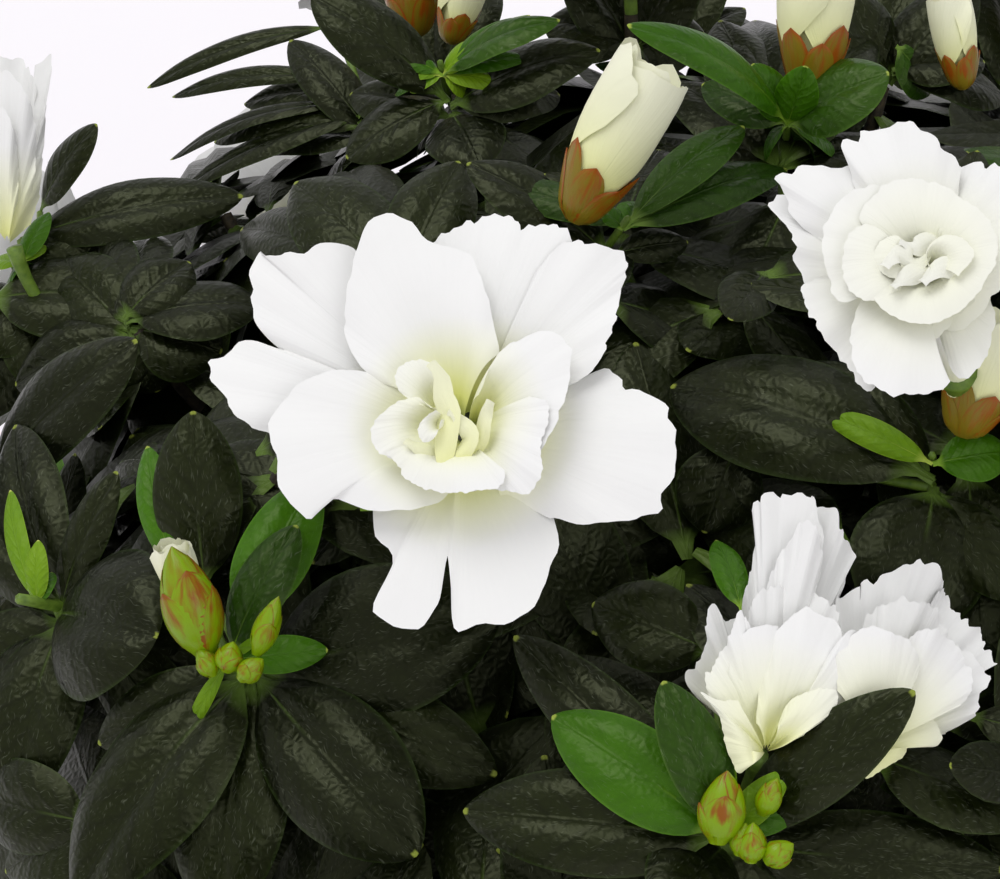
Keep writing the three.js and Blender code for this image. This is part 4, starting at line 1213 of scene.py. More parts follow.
# The blooms: double flowers, whose petals stand in whorls round a throat filled with petal-like
# stamens. The petals are thin, soft and ruffled at the rim, white, and cream-green in the throat.
PETAL_SEAM = 0.03
CHART_STEP = 3.7
FULL_TURN = 6.28
NOTCH_WIDTH = 0.14
RIM_RIPPLES = ((5, 0.016), (11, 0.012), (23, 0.008))
THROAT_DEPTH = 20.0


def petal_shape(rows, cols, notch, seed):
    """A petal's flat outline as a fan: shares along and across, for each of its rows and columns."""
    r, s = np.meshgrid(np.linspace(PETAL_SEAM, 1, rows) ** 0.85, np.linspace(-1, 1, cols), indexing="ij")
    rim = 1 - 0.1 * s**2 - 0.25 * np.abs(s) ** 7 - notch * np.exp(-((s / NOTCH_WIDTH) ** 2))
    for n, (waves, depth) in enumerate(RIM_RIPPLES):
        rim = rim + depth * np.sin(waves * s + FULL_TURN * draw(seed, 140 + n))
    return r, s, rim


def petal(shoot, turn, line, seed, spread, cup, ruffle, wrap=0, waves=7, notch=0.05, rows=9, cols=15):
    """A petal along a curved line of [distance from the axis, height], fanned and wrapped round it."""
    r, s, rim = petal_shape(rows, cols, notch, seed)
    (d0, h0), (d1, h1), (d2, h2) = line
    length = math.hypot(d1 - d0, h1 - h0) + math.hypot(d2 - d1, h2 - h1)
    # y is the share of the way up the line, and x is how far beside it, in millimetres.
    y = (r * rim * np.cos(spread * s)).clip(0, 1.08)
    x = r * rim * np.sin(spread * s) * length
    out = (1 - y) ** 2 * d0 + 2 * y * (1 - y) * d1 + y**2 * d2
    high = (1 - y) ** 2 * h0 + 2 * y * (1 - y) * h1 + y**2 * h2
    slope_out = 2 * (1 - y) * (d1 - d0) + 2 * y * (d2 - d1)
    slope_high = 2 * (1 - y) * (h1 - h0) + 2 * y * (h2 - h1)
    scale = np.hypot(slope_out, slope_high)
    # The rim ripples square to the blade, and the blade is hollow or domed across.
    ripple = np.sin(waves * s + FULL_TURN * draw(seed, 150))
    ripple = ripple + 0.5 * np.sin(2.1 * waves * s + FULL_TURN * draw(seed, 151))
    off = ruffle * r**3 * ripple * (0.4 + 0.6 * np.abs(s)) + cup * x**2 / length
    out, high = out - off * slope_high / scale, high + off * slope_out / scale
    angle = turn + wrap * x / np.maximum(out, 0.22 * length)
    rest = (1 - wrap) * x
    level_a = out * np.cos(angle) - rest * np.sin(angle)
    level_b = out * np.sin(angle) + rest * np.cos(angle)
    points = (
        shoot["tip"]
        + level_a[..., None] * shoot["side"]
        + level_b[..., None] * shoot["up"]
        + high[..., None] * shoot["axis"]
    )
    # Towards the throat the colour warms to cream; deepest in it, it darkens to olive, partly as painted
    # shade.
    warmth = (1 - y * length / THROAT_DEPTH).clip(0, 1) ** 1.6
    return points, warmth, s, r


def petal_mesh(name, petals):
    """Petals of any size as one mesh, with a map along each and how warm its colour is, a share that also
    carries painted shade: deep in a throat, and along bud scales' edges.
    """
    parts, warmths, charts = [], [], []
    for points, *fields in petals:
        warmth, s, r = np.broadcast_arrays(*fields)
        parts.append((points.reshape(-1, 3), lattice(*warmth.shape)))
        warmths.append(warmth.ravel())
        charts.append(np.stack([(s.ravel() + 1) / 2 + CHART_STEP * len(charts), r.ravel()], -1))
    piece = mesh_piece(name, *joined(parts))
    mark(piece, "warmth", np.concatenate(warmths))
    lay_chart(piece, "petal", np.concatenate(charts))
    return piece


# Petal tissue: soft, matt and bright white, with faint raised veins that fan out to the rim. It
# turns cream and then yellow-green down in the throat, and a darker olive deepest in it: partly
# the petal's own green, partly painted shade in the hollow.
petal_finish, tree, shader = finish_called("white azalea petal")
chart = add(tree, "UVMap", uv_map="petal")
warmth = add(tree, "Attribute", attribute_name="warmth").outputs["Fac"]
fan_place = add(tree, "Mapping", {"Vector": chart, "Scale": (34, 1.2, 1)})
fan_veins = add(tree, "TexNoise", {"Vector": fan_place, "Scale": 1.0, "Detail": 2})
place = add(tree, "TexCoord").outputs["Object"]
crumple = add(tree, "TexNoise", {"Vector": place, "Scale": 1 / (7 * MM), "Detail": 2})
creamy = add(tree, "MapRange", {"Value": warmth, 1: 0.0, 2: 0.6, 3: 0.0, 4: 1.0})
cream = add(tree, "Mix", {0: creamy, 6: linear("#EFEFED"), 7: linear("#F2F4A6")}, data_type="RGBA")
# Deepest in the throat the cream darkens to olive: partly the petal's own green, partly painted shade.
deep = add(tree, "MapRange", {"Value": warmth, 1: 0.6, 2: 0.92, 3: 0.0, 4: 1.0})
throat = add(tree, "Mix", {0: deep, 6: cream, 7: linear("#8F9C3A")}, data_type="RGBA")
height = add(tree, "Math", {0: crumple, 1: 2.2, 2: fan_veins}, operation="MULTIPLY_ADD")
bump = add(tree, "Bump", {"Strength": 0.35, "Distance": 0.3 * MM, "Height": height})
feed(shader, {"Base Color": throat, "Roughness": 0.6, "Normal": bump})
feed(shader, {"Specular IOR Level": 0.25, "Sheen Weight": 0.15})


def open_bloom(shoot):
    """Five broad petals laid back, five shorter ones on them, and seven small ones in the throat."""
    size, face, seed = shoot["size"], shoot["face"], shoot["seed"]
    start = FULL_TURN * draw(seed, 160)
    petals = []
    for i in range(5):
        turn = start + 2 * math.pi * i / 5 + 0.25 * (draw(seed, 161 + i) - 0.5)
        reach = size * (0.93 + 0.1 * draw(seed, 171 + i))
        line = ((1.6, 6), (0.32 * size, face - 2), (reach, face - 1 - 2.5 * draw(seed, 181 + i)))
        petals.append(petal(shoot, turn, line, seed + i, spread=0.66, cup=-0.2, ruffle=1.0, notch=0.07))
    for i in range(5):
        turn = start + 2 * math.pi * (i + 0.5) / 5 + 0.3 * (draw(seed, 191 + i) - 0.5)
        reach = size * (0.72 + 0.12 * draw(seed, 201 + i))
        line = ((1.4, 7), (0.22 * size, face + 1), (reach, face + 2 + 3 * draw(seed, 211 + i)))
        petals.append(petal(shoot, turn, line, seed + 10 + i, spread=0.62, cup=0.3, ruffle=1.4, waves=8))
    for i in range(7):
        turn = start + GOLDEN_ANGLE * i
        reach = size * (0.16 + 0.16 * draw(seed, 221 + i))
        line = ((1.2, 8), (0.1 * size, face), (reach, face + 5 + 4 * draw(seed, 231 + i)))
        form = {"spread": 0.45, "wrap": 0.5, "cup": 1.2, "ruffle": 1.6, "waves": 6, "rows": 8, "cols": 9}
        petals.append(petal(shoot, turn, line, seed + 20 + i, **form))
    return petals


# The whorls of a half-open bloom from the outside in: how many petals, their reach and height as shares
# of the bloom's, how far they fan, and how wide they stand at half their height.
CUP_LAYERS = [
    (5, 0.98, 0.98, 0.62, 0.95),
    (5, 0.78, 1.0, 0.58, 0.95),
    (5, 0.52, 0.98, 0.52, 1.0),
    (5, 0.28, 0.94, 0.45, 1.0),
]


def cup_bloom(shoot):
    """Whorls of petals that still stand upright and wrap round each other."""
    size, face, seed = shoot["size"], shoot["face"], shoot["seed"]
    start = FULL_TURN * draw(seed, 160)
    petals = []
    for layer, (count, wide, high, spread, flare) in enumerate(CUP_LAYERS):
        for i in range(count):
            n = 20 * layer + i
            turn = start + 2 * math.pi * (i + 0.5 * layer) / count + 0.35 * (draw(seed, 240 + n) - 0.5)
            reach = size * wide * (0.9 + 0.2 * draw(seed, 300 + n))
            top = face * high * (0.93 + 0.12 * draw(seed, 360 + n))
            line = ((1.5, 5), (reach * flare, 0.45 * top), (reach, top))
            form = {"spread": spread, "wrap": 0.75, "cup": 0.15, "ruffle": 1.6, "waves": 8, "cols": 13}
            petals.append(petal(shoot, turn, line, seed + n, **form))
    return petals


# The front blooms, petal by petal from the photograph's outlines. Each petal fans from the bloom's
# throat to a rim that runs through the given pixels, at a height above the bloom's face in mm.
FRONT_BLOOMS = {
    1: {
        "throat": (457, 425), "slope": (-0.16, -0.6, 0.78), "depth": 7.0, "warm": 1.0, "ruffle": 1.3,
        "petals": [
            (-1.5, [(330, 352), (280, 347), (255, 320), (250, 285), (253, 262), (259, 250), (266, 257),
                (301, 255), (325, 248), (355, 250), (385, 300)]),
            (-2.0, [(400, 370), (318, 350), (280, 348), (248, 340), (225, 355), (211, 362), (213, 380),
                (234, 411), (255, 429), (300, 445)]),
            (-3.0, [(385, 480), (371, 508), (373, 534), (392, 552), (390, 569), (373, 604), (381, 618),
                (403, 629), (420, 629), (438, 604), (445, 575), (449, 560), (453, 590), (457, 631),
                (487, 624), (518, 618), (539, 601), (550, 566), (557, 534), (550, 500)]),
            (-2.0, [(500, 500), (536, 511), (564, 520), (620, 522), (655, 510), (662, 496), (674, 478),
                (678, 440), (666, 411), (641, 390), (626, 389), (620, 376), (601, 368), (571, 383),
                (545, 390)]),
            (0.0, [(545, 400), (571, 387), (595, 369), (609, 338), (618, 310), (620, 282), (627, 261),
                (624, 250), (606, 247), (585, 244), (560, 246), (535, 275)]),
            (-0.8, [(570, 300), (571, 241), (557, 226), (539, 226), (524, 229), (515, 217), (487, 212),
                (462, 224), (434, 243), (430, 290)]),
            (3.0, [(425, 398), (410, 390), (378, 380), (353, 355), (341, 327), (343, 320), (348, 289),
                (360, 247), (367, 229), (385, 215), (410, 224), (431, 243), (466, 250), (480, 275),
                (487, 299), (500, 350)]),
            (2.0, [(400, 378), (343, 371), (308, 380), (283, 401), (271, 429), (278, 457), (276, 478),
                (290, 503), (310, 517), (322, 501), (336, 497), (360, 508), (430, 506), (450, 490)]),
            (4.5, [(480, 395), (500, 350), (545, 330), (570, 350), (565, 400), (545, 447), (520, 470)]),
            (6.0, [(440, 405), (431, 408), (417, 397), (396, 404), (374, 422), (371, 435), (376, 450),
                (396, 461), (405, 470)]),
            (6.5, [(385, 452), (396, 463), (410, 482), (445, 493), (476, 492), (500, 486), (505, 470)]),
            (5.5, [(470, 490), (501, 489), (529, 492), (543, 468), (541, 447), (550, 408), (530, 395)]),
            (6.0, [(452, 395), (443, 372), (425, 360), (406, 362), (396, 375), (400, 392), (420, 405)]),
            (8.5, [(441, 420), (436, 435), (424, 442), (418, 432), (422, 421), (436, 410)]),
        ],
        "straps": [
            (9.5, 1.5, [(430, 362), (441, 376), (443, 397), (449, 411), (446, 435), (444, 462),
                (452, 476)]),
            (8.0, 1.2, [(448, 411), (458, 418), (470, 436), (462, 455), (458, 470)]),
            (7.5, 1.1, [(490, 400), (484, 420), (480, 440), (470, 456)]),
            (7.0, 1.2, [(405, 440), (425, 452), (440, 466), (462, 478)]),
        ],
    },
    2: {
        "throat": (925, 265), "slope": (-0.1, -0.55, 0.82), "depth": 4.5, "warm": 0.3, "ruffle": 1.8,
        "petals": [
            (-3.0, [(865, 215), (850, 168), (841, 140), (858, 138), (861, 132), (870, 131), (880, 127),
                (892, 127), (900, 124), (912, 127), (925, 135), (938, 146), (940, 151), (950, 155),
                (960, 164), (958, 200)]),
            (-5.0, [(940, 200), (950, 165), (960, 164), (968, 160), (980, 160), (985, 167), (997, 163),
                (1015, 175), (1030, 205), (1025, 235), (985, 250)]),
            (-5.0, [(870, 230), (855, 170), (838, 166), (822, 164), (808, 168), (795, 173), (790, 177),
                (780, 177), (775, 184), (783, 193), (800, 225), (850, 255)]),
            (-7.0, [(860, 215), (783, 193), (773, 202), (772, 212), (785, 227), (792, 242), (797, 262),
                (803, 285), (806, 300), (850, 300)]),
            (-6.0, [(850, 270), (803, 285), (806, 300), (808, 315), (815, 320), (822, 337), (838, 350),
                (845, 360), (852, 372), (860, 385), (875, 388), (900, 330)]),
            (-2.0, [(860, 300), (850, 345), (862, 380), (875, 387), (888, 394), (905, 395), (925, 391),
                (945, 385), (950, 377), (932, 373), (930, 362), (925, 350), (940, 335), (975, 300)]),
            (-4.0, [(930, 320), (955, 330), (985, 310), (990, 297), (1000, 290), (1020, 270), (1035, 235),
                (1000, 215), (960, 225)]),
            (-6.5, [(935, 325), (944, 350), (952, 372), (964, 380), (977, 372), (988, 350), (995, 320),
                (990, 295)]),
            (0.0, [(880, 290), (840, 300), (825, 262), (822, 240), (832, 210), (848, 195), (870, 188),
                (885, 192), (900, 230)]),
            (1.0, [(870, 240), (860, 215), (880, 190), (905, 180), (935, 182), (960, 195), (968, 215),
                (950, 240)]),
            (1.0, [(940, 225), (960, 200), (985, 215), (998, 245), (990, 275), (970, 290), (945, 285)]),
            (1.5, [(975, 262), (985, 280), (960, 310), (925, 325), (890, 315), (868, 290), (875, 270)]),
            (2.0, [(900, 290), (870, 300), (850, 290), (842, 262), (850, 235), (870, 225), (895, 240)]),
            (2.4, [(905, 282), (884, 274), (874, 258), (880, 242), (897, 236), (908, 250)]),
            (2.8, [(932, 272), (926, 252), (940, 236), (962, 238), (974, 256), (958, 276)]),
        ],
        "straps": [
            (4.2, 1.6, [(884, 266), (898, 254), (914, 262), (930, 250)]),
            (3.8, 1.4, [(922, 282), (940, 268), (958, 264), (970, 250)]),
            (3.2, 1.3, [(900, 240), (916, 247), (934, 237), (950, 244)]),
            (4.0, 1.3, [(892, 286), (908, 276), (924, 268), (944, 272)]),
        ],
    },
    3: {
        "throat": (765, 752), "slope": (0.1, -0.75, 0.62), "depth": 0.0, "warm": 0.62, "ruffle": 1.7,
        "petals": [
            (-6.0, [(815, 620), (838, 605), (843, 592), (847, 578), (850, 568), (856, 558), (853, 548),
                (842, 537), (835, 515), (830, 507), (820, 507), (812, 499), (795, 510)]),
            (-3.5, [(740, 610), (752, 570), (758, 545), (760, 525), (753, 510), (755, 504), (762, 502),
                (760, 496), (763, 491), (772, 494), (780, 499), (784, 494), (800, 495), (812, 499),
                (820, 540), (815, 600)]),
            (-1.0, [(760, 610), (778, 560), (790, 540), (803, 520), (810, 522), (818, 540), (822, 565),
                (818, 585), (800, 600)]),
            (-4.0, [(742, 615), (730, 620), (724, 620), (722, 614), (716, 606), (710, 606), (707, 612),
                (706, 640), (700, 655), (690, 670), (685, 682), (700, 700), (720, 715)]),
            (0.0, [(745, 625), (752, 600), (765, 590), (785, 585), (810, 590), (825, 600), (838, 615),
                (840, 635)]),
            (2.0, [(755, 640), (742, 612), (735, 618), (728, 640), (715, 665), (705, 680), (712, 700),
                (728, 712)]),
            (2.5, [(732, 705), (730, 668), (738, 640), (752, 628), (770, 624), (784, 634), (792, 660),
                (788, 705)]),
            (4.5, [(800, 725), (812, 690), (828, 655), (846, 632), (858, 630), (868, 642), (870, 665),
                (858, 690), (838, 710), (815, 730)]),
            (3.8, [(755, 722), (762, 672), (774, 636), (790, 618), (804, 609), (822, 614), (838, 624),
                (840, 645), (828, 680), (806, 715)]),
            (5.0, [(738, 700), (718, 700), (700, 692), (718, 715), (726, 745), (735, 768), (742, 773),
                (750, 758), (746, 748)]),
            (5.5, [(778, 725), (788, 704), (806, 692), (826, 688), (838, 694), (832, 712), (812, 728),
                (790, 742)]),
        ],
    },
    4: {
        "throat": (868, 750), "slope": (0.2, -0.75, 0.62), "depth": 0.0, "warm": 0.62, "ruffle": 1.7,
        "petals": [
            (-6.0, [(838, 630), (838, 608), (843, 598), (850, 592), (862, 588), (862, 582), (868, 580),
                (878, 580), (890, 572), (905, 565), (917, 561), (930, 564), (940, 577), (944, 590),
                (945, 620)]),
            (-4.5, [(930, 600), (944, 590), (953, 598), (957, 610), (962, 618), (970, 622), (978, 628),
                (983, 638), (983, 648), (990, 655), (992, 662), (985, 668), (960, 680)]),
            (-2.0, [(862, 640), (868, 618), (885, 604), (905, 600), (928, 605), (942, 620), (950, 645)]),
            (-1.0, [(940, 640), (965, 650), (985, 668), (988, 685), (978, 693), (975, 710), (965, 722),
                (950, 731), (942, 735), (920, 730)]),
            (1.0, [(930, 715), (942, 735), (940, 742), (933, 747), (915, 745), (908, 748), (903, 758),
                (890, 765), (878, 772), (867, 779), (858, 772)]),
            (2.0, [(900, 690), (900, 655), (915, 632), (935, 630), (955, 642), (968, 660), (973, 685),
                (960, 705), (935, 715)]),
            (4.0, [(838, 690), (838, 655), (852, 636), (870, 627), (890, 632), (908, 642), (920, 660),
                (915, 682), (900, 705)]),
        ],
    },
    5: {
        "throat": (8, 244), "slope": (0.0, -0.8, 0.6), "depth": 0.0, "warm": 0.7, "ruffle": 1.7,
        "petals": [
            (-3.0, [(30, 225), (39, 190), (43, 150), (47, 110), (52, 75), (50, 55), (42, 60), (34, 66)]),
            (-4.0, [(38, 90), (22, 60), (0, 57), (-22, 64), (-45, 80), (-55, 110), (-52, 150)]),
            (1.0, [(-45, 150), (-40, 100), (-20, 78), (5, 74), (22, 84), (33, 110), (36, 150),
                (32, 195)]),
            (3.0, [(-30, 190), (-32, 150), (-15, 118), (3, 108), (14, 128), (18, 160), (18, 200)]),
        ],
    },
}
WARM_REACH = 18.0
RIM_BLUR = 5
RIM_SHARPNESS = 4
RIM_WAVES = ((3.4, 0.9), (8, 0.4), (19, 0.16))
RIM_CRIMPS = (13, 21, 34, 47, 60)
CRIMP_HEIGHT = 0.24
CALM_BELOW = 24
SWELL = 0.9
STRAP_ROWS = 14
STRAP_COLS = 5


def outlined_petal(bloom, face, lift, outline, seed, rows=26, cols=64):
    """A petal that fans from the throat to a rim seen at the given pixels."""
    slope = unit(bloom["slope"])
    depth = bloom["depth"]
    rim = along([seen_on(pixel, face, slope, lift) for pixel in outline], cols)
    s = np.linspace(-1, 1, cols)
    ripple = sum(
        height * np.sin(waves * s + FULL_TURN * draw(seed, 400 + n))
        for n, (waves, height) in enumerate(RIM_WAVES)
    )
    middle = seen_on(bloom["throat"], face, slope)
    origin = middle - depth * slope + (0.06 if depth else 0) * (rim.mean(0) - middle)
    outward = rim - middle
    outward /= np.linalg.norm(outward, axis=1, keepdims=True)
    tame = min(np.linalg.norm(rim - middle, axis=1).mean() / CALM_BELOW, 1) ** 1.5
    height = CRIMP_HEIGHT * tame * math.sqrt(bloom["ruffle"])
    crimp = sum(
        height * draw(seed, 430 + n) * np.sin(waves * s + FULL_TURN * draw(seed, 410 + n))
        for n, waves in enumerate(RIM_CRIMPS)
    )
    # Only the rim itself has the outline's fine steps. Lower down the petal follows a blurred rim.
    padded = np.vstack([rim[:1]] * RIM_BLUR + [rim] + [rim[-1:]] * RIM_BLUR)
    blurred = np.stack([padded[k : k + cols] for k in range(2 * RIM_BLUR + 1)]).mean(0)
    detail = rim - blurred + outward * crimp[:, None]
    r = (np.linspace(PETAL_SEAM, 1, rows) ** 0.8)[:, None]
    points = origin + (blurred - origin)[None] * r[..., None] + detail[None] * (r**RIM_SHARPNESS)[..., None]
    # It rises out of the throat in a hollow curve, swells in its middle and ruffles towards the rim.
    belly = lift * (0.25 if depth else 0.45)
    hollow = depth * ((1 - r) - (1 - r) ** 3) + belly * np.sin(math.pi * r)
    swell = SWELL * np.sin(math.pi * r) * np.cos(1.6 * s)[None]
    ruffle = bloom["ruffle"] * tame * ripple[None] * r**3
    points = points + (hollow + swell + ruffle)[..., None] * slope
    reach = np.linalg.norm(points - origin, axis=2)
    # The throat is tinted cream; where the share passes 0.6 it darkens to olive, partly the petal's green
    # and partly painted shade.
    warmth = bloom["warm"] * (1 - reach / WARM_REACH).clip(0, 1) ** 1.2
    return points, warmth, s, r


def strap(bloom, face, lift, half, pixels, seed):
    """A stamen that has turned into a narrow twisted petal."""
    slope = unit(bloom["slope"])
    line = [seen_on(pixel, face, slope, lift - 5 * k / len(pixels)) for k, pixel in enumerate(pixels)]
    line = along(line, STRAP_ROWS)
    way = np.gradient(line, axis=0)
    way /= np.linalg.norm(way, axis=1, keepdims=True)
    side = np.cross(way, slope)
    s = np.linspace(-1, 1, STRAP_COLS)
    t = np.linspace(0, 1, STRAP_ROWS)[:, None]
    wide = half * (0.35 + 0.9 * np.sin(math.pi * t.clip(0.08, 0.92)))
    points = line[:, None] + side[:, None] * (wide * s)[..., None]
    points = points + (0.7 * np.sin(9 * t + draw(seed, 420)) * s - 0.5 * s**2)[..., None] * slope
    return points, bloom["warm"] * (0.25 + 0.3 * t), s, t


TUBE_ROWS = 8
TUBE_COLS = 17
TUBE_RADII = (1.9, 2.4)


def flower_tube(shoot, bloom, face):
    """The petals' common tube, from inside the calyx to where the petals part."""
    slope = unit(bloom["slope"])
    mouth = seen_on(bloom["throat"], face, slope) - (bloom["depth"] + 0.2) * slope
    line = along([shoot["tip"] + 4 * shoot["axis"], shoot["tip"] + 10 * shoot["axis"], mouth], TUBE_ROWS)
    side, up = across(unit(mouth - shoot["tip"]))
    s = np.linspace(-1, 1, TUBE_COLS)
    ring = np.cos(math.pi * s)[:, None] * side + np.sin(math.pi * s)[:, None] * up
    girths = np.linspace(*TUBE_RADII, TUBE_ROWS)
    points = line[:, None] + girths[:, None, None] * ring
    r = np.linspace(0, 1, TUBE_ROWS)[:, None]
    return points, 0.5 * (1 - r) ** 2, s, r


def front_bloom(shoot):
    """A bloom drawn after the photograph. One that is seen from above also has a tube below its petals."""
    bloom = FRONT_BLOOMS[shoot["seed"]]
    face = shoot["tip"] + (shoot["face"] if bloom["depth"] else 2) * shoot["axis"]
    petals = [outlined_petal(bloom, face, *values, n) for n, values in enumerate(bloom["petals"])]
    if bloom["depth"]:
        petals.append(flower_tube(shoot, bloom, face))
    return petals + [strap(bloom, face, *values, n) for n, values in enumerate(bloom.get("straps", []))]


# Each bloom's petals, and its calyx: a slim green stalk, hairy as the shoots are, that widens to a small
# cup in which the petals stand. The half-open front blooms lean on theirs, which curve up to them.
CALYX_KNEE = 11.0
CALYX_HEIGHTS = (-3, 0, 4, 7, 9)
CALYX_RADII = (1.2, 1.3, 1.6, 2.6, 3.2)
LOW_CALYX_RADII = (1.5, 1.1, 1.3)
for number, shoot in enumerate(flowering, 1):
    if shoot["seed"] in FRONT_BLOOMS:
        petals = front_bloom(shoot)
    elif shoot["kind"] == "open":
        petals = open_bloom(shoot)
    else:
        petals = cup_bloom(shoot)
    node = f"bloom_{number:02d}"
    settle(petal_mesh("petals", petals), f"petals_{number:02d}", petal_finish, "petals", node)
    axis, tip = shoot["axis"], shoot["tip"]
    path = tip + np.outer(CALYX_HEIGHTS, axis)
    girths = CALYX_RADII
    if shoot["seed"] in LOW_CALYX:
        s = np.linspace(1, 0, 9)[:, None]
        path = s**2 * shoot["knee"] + 2 * s * (1 - s) * (tip - CALYX_KNEE * axis) + (1 - s) ** 2 * tip
        girths = np.interp(s[:, 0], (0, 0.3, 1), LOW_CALYX_RADII)
    cup = tube(path, girths, 12)
    settle(mesh_piece("calyx", *cup), f"calyx_{number:02d}", green_skin, "leaves", node)

# The buds: closed flower buds in overlapping scales, some still green with rusty patches and edges,
# the edges darkened further as painted shade where the scales overlap, some just opening with a twist
# of white petals out of papery orange-brown scales.
SCALE_ROWS = 10
SCALE_COLS = 13
# For each kind: how many scales, where the innermost and the outermost start, their length as a share
# of the bud's, half their angle round it in radians, how far they stand off in mm, and how blunt.
SCALES = {
    "green": (7, 0.0, 0.45, 0.55, 1.15, 0.4, 3.0),
    "papery": (8, -0.02, 0.12, 0.25, 0.72, 0.4, 2.2),
}
BODY_SHARE = 0.86
SCALE_FOOT = ((-0.1, -0.07, -0.03, 0.0), (0.25, 0.62, 0.9, 1.0))
# A rolled bud's side is a curve between three girths, as shares of its radius, with its knee at a
# share of its length.
ROLL = (0.52, 1.2, 0.92)
ROLL_KNEE = 0.42
ROLL_TWIST = 0.75
rise = np.linspace(0, 1, 20)
ROLL_HEIGHTS = 2 * rise * (1 - rise) * ROLL_KNEE + rise**2
ROLL_GIRTHS = (1 - rise) ** 2 * ROLL[0] + 2 * rise * (1 - rise) * ROLL[1] + rise**2 * ROLL[2]


def bud_scales(kind, base, way, length, radius, seed):
    """Scales that lap round an egg-shaped bud, with how rusty each point of them is. Along their margins
    and tips this share also stands for painted shade where one laps over the next.
    """
    count, low, high, long, wide, stand, blunt = SCALES[kind]
    side, up = across(way)
    a, b = np.meshgrid(np.linspace(0, 1, SCALE_ROWS), np.linspace(-1, 1, SCALE_COLS), indexing="ij")
    scales = []
    for i in range(count):
        share = i / (count - 1)
        first = high + (low - high) * share
        last = min(first + long * (0.9 + 0.25 * draw(seed, 500 + i)), 1.0)
        t = first + (last - first) * a
        layer = stand * (0.15 + 0.75 * share) + 0.35 * stand * a**4 * draw(seed, 505 + i)
        half = wide * (0.85 + 0.3 * draw(seed, 515 + i)) * (1 - a**blunt).clip(0.0004, 1) ** 0.6
        if kind == "papery":
            t = SCALE_FOOT[0][0] + (last - SCALE_FOOT[0][0]) * a
            girth = radius * np.interp(t, ROLL_HEIGHTS, ROLL_GIRTHS) * np.interp(t, *SCALE_FOOT)
        else:
            if i == 0:
                t = a
                half = math.pi
            girth = radius * BODY_SHARE * np.sin(math.pi * t.clip(0.04, 0.998) ** 0.8) ** 0.7
            layer = layer * np.sqrt(girth / radius)
        angle = i * GOLDEN_ANGLE + FULL_TURN * draw(seed, 510) + half * b
        reach = girth + layer * (1 - 0.5 * b**2)
        points = base + (t * length)[..., None] * way
        points = points + (reach * np.cos(angle))[..., None] * side
        points = points + (reach * np.sin(angle))[..., None] * up
        blush = (0.75 if kind == "green" else 0.9) * draw(seed, 520 + i)
        rust_and_edge_shade = blush * np.exp(-(((a - 0.6) / 0.25) ** 2) - (b / 0.6) ** 2)
        # The margins and tips turn rust-coloured: partly the scales' own rusty edges, partly painted shade
        # where one scale laps over the next.
        rust_and_edge_shade = (rust_and_edge_shade + 0.9 * np.abs(b) ** 8 * draw(seed, 530 + i) + 0.7 * a**9) * min(radius / 5, 1)
        if i == 0:
            rust_and_edge_shade = 0.3 * rust_and_edge_shade
        scales.append((points, rust_and_edge_shade.clip(0, 1), b, a))
    return scales


def rolled_petals(base, way, length, radius, seed):
    """White petals rolled round each other, each a little turned as it rises."""
    shoot = {"tip": base, "axis": way, "seed": seed}
    shoot["side"], shoot["up"] = across(way)
    petals = []
    for i in range(6):
        high = length * (0.9 + 0.13 * draw(seed, 540 + i))
        inner = 1 - 0.09 * i
        girths = radius * inner * np.array(ROLL)
        line = ((girths[0], 0), (girths[1], ROLL_KNEE * length), (girths[2], high))
        form = {"spread": 0.62, "wrap": 0.95, "cup": 0, "ruffle": 0.55, "waves": 5, "rows": 14, "cols": 21}
        points, warmth, s, r = petal(shoot, i * GOLDEN_ANGLE, line, seed + i, **form)
        height = (points - base) @ way
        turn = (ROLL_TWIST * (height / length) ** 1.5)[..., None]
        level = points - base - height[..., None] * way
        points = base + height[..., None] * way + level * np.cos(turn) + np.cross(way, level) * np.sin(turn)
        # The rolled petals are cream-green at their foot, where the darkest olive is partly painted shade.
        petals.append((points, 0.22 + 0.6 * (1 - height / length).clip(0, 1) ** 2, s, r))
    return petals


scale_finishes = {}
for kind, fresh, rusty in (("green", "#7C9C06", "#8A3308"), ("papery", "#88741A", "#A0480C")):
    material, tree, shader = finish_called(f"{kind} bud scale")
    rust_and_edge_shade = add(tree, "Attribute", attribute_name="warmth").outputs["Fac"]
    chart = add(tree, "UVMap", uv_map="petal")
    streak_place = add(tree, "Mapping", {"Vector": chart, "Scale": (7, 2.2, 1)})
    blotch = add(tree, "TexNoise", {"Vector": streak_place, "Scale": 1.0, "Detail": 4})
    # The rust share also carries painted shade along the scales' margins and tips.
    rusted_and_edge_shaded = add(tree, "Math", {0: blotch, 1: 1.3, 2: rust_and_edge_shade}, operation="MULTIPLY_ADD")
    rusted_and_edge_shaded = add(tree, "MapRange", {"Value": rusted_and_edge_shaded, 1: 0.72, 2: 1.1, 3: 0.0, 4: 0.85})
    tint = add(tree, "Mix", {0: rusted_and_edge_shaded, 6: linear(fresh), 7: linear(rusty)}, data_type="RGBA")
    rib_place = add(tree, "Mapping", {"Vector": chart, "Scale": (16, 1.5, 1)})
    ribs = add(tree, "TexNoise", {"Vector": rib_place, "Scale": 1.0, "Detail": 2})
    bump = add(tree, "Bump", {"Strength": 0.5, "Distance": 0.15 * MM, "Height": ribs})
    feed(shader, {"Base Color": tint, "Roughness": 0.3, "Specular IOR Level": 0.3, "Normal": bump})
    scale_finishes[kind] = material

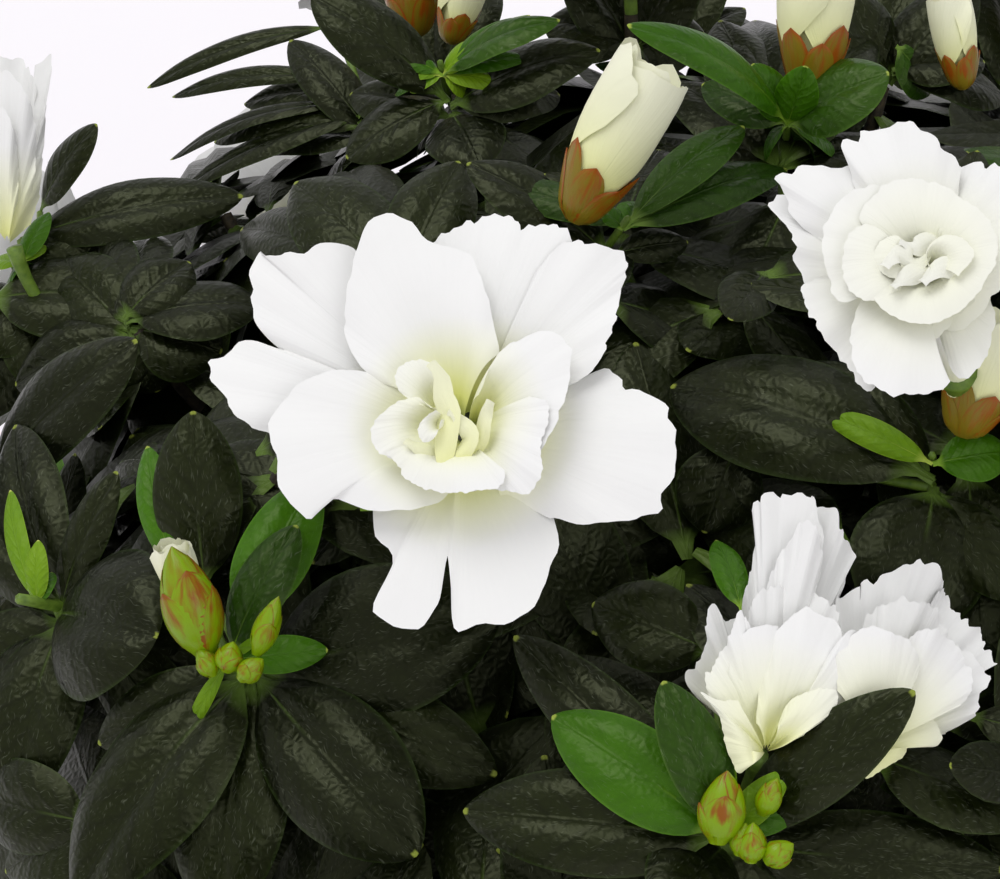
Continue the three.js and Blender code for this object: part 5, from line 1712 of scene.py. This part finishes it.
# Front buds: shoot, kind, length, radius, the pixel of its foot and the pixel its point lies towards.
FRONT_BUDS = [
    (6, "green", 18, 5.1, (207, 655), (178, 560)),
    (6, "opening", 11, 3.4, (190, 604), (172, 540)),
    (6, "green", 10, 2.2, (256, 655), (282, 590)),
    (6, "green", 5, 2.4, (226, 672), (234, 640)),
    (6, "green", 5, 2.0, (240, 680), (262, 660)),
    (6, "green", 5, 1.8, (214, 676), (203, 655)),
    (8, "green", 11, 3.8, (718, 843), (726, 774)),
    (8, "green", 6, 2.4, (750, 862), (752, 835)),
    (8, "green", 5, 2.2, (765, 862), (790, 845)),
    (8, "green", 5, 1.8, (738, 855), (742, 838)),
    (8, "green", 6, 2.0, (762, 815), (778, 775)),
    (9, "opening", 27, 7.0, (580, 207), (655, 66)),
    (10, "opening", 27, 7.0, (810, 82), (820, -60)),
    (11, "opening", 22, 6.2, (414, 26), (408, -80)),
    (11, "opening", 15, 4.4, (452, 36), (472, -40)),
    (2, "opening", 19, 6.4, (965, 425), (1000, 320)),
    (103, "opening", 16, 4.0, (962, 80), (950, 10)),
]
FRONT_TOWARDS = 0.2
PLAIN_BUD = 19.0
BUD_GIRTH = 0.27
buds = []
for seed, kind, length, radius, foot, head in FRONT_BUDS:
    shoot = by_seed[seed]
    base = seen_on(foot, shoot["tip"] - 1.5 * shoot["axis"], shoot["axis"])
    aim = np.array(head, float) - foot
    way = unit(unit(aim[0] * RIGHT - aim[1] * ABOVE) - FRONT_TOWARDS * AHEAD)
    buds.append((kind, shoot["mass"], (base, way, length, radius, seed + 7 * len(buds))))
hand_placed = {seed for seed, *rest in FRONT_BUDS}
for shoot in main_shoots:
    seed = shoot["seed"]
    near = np.linalg.norm(shoot["tip"] - FRONT_MIDDLE) < FRONT_REACH
    if shoot["kind"] == "bud" and seed not in hand_placed and not near:
        kind = "opening" if draw(seed, 6) < 0.45 else "green"
        length = PLAIN_BUD * (0.75 + 0.5 * draw(seed, 8)) * (1 if kind == "opening" else 0.85)
        values = (shoot["tip"] - shoot["axis"], shoot["axis"], length, BUD_GIRTH * length, seed)
        buds.append((kind, shoot["mass"], values))
for mass in sorted({mass for kind, mass, values in buds}):
    green = [values for kind, where, values in buds if where == mass and kind == "green"]
    opening = [values for kind, where, values in buds if where == mass and kind == "opening"]
    node = f"foliage_{mass}"
    if green:
        piece = petal_mesh("buds", [scale for values in green for scale in bud_scales("green", *values)])
        settle(piece, f"green_buds_{mass}", scale_finishes["green"], "leaves", node)
    if opening:
        piece = petal_mesh("buds", [roll for values in opening for roll in rolled_petals(*values)])
        settle(piece, f"white_buds_{mass}", petal_finish, "petals", node)
        papery = [scale for values in opening for scale in bud_scales("papery", *values)]
        settle(petal_mesh("scales", papery), f"bud_scales_{mass}", scale_finishes["papery"], "leaves", node)
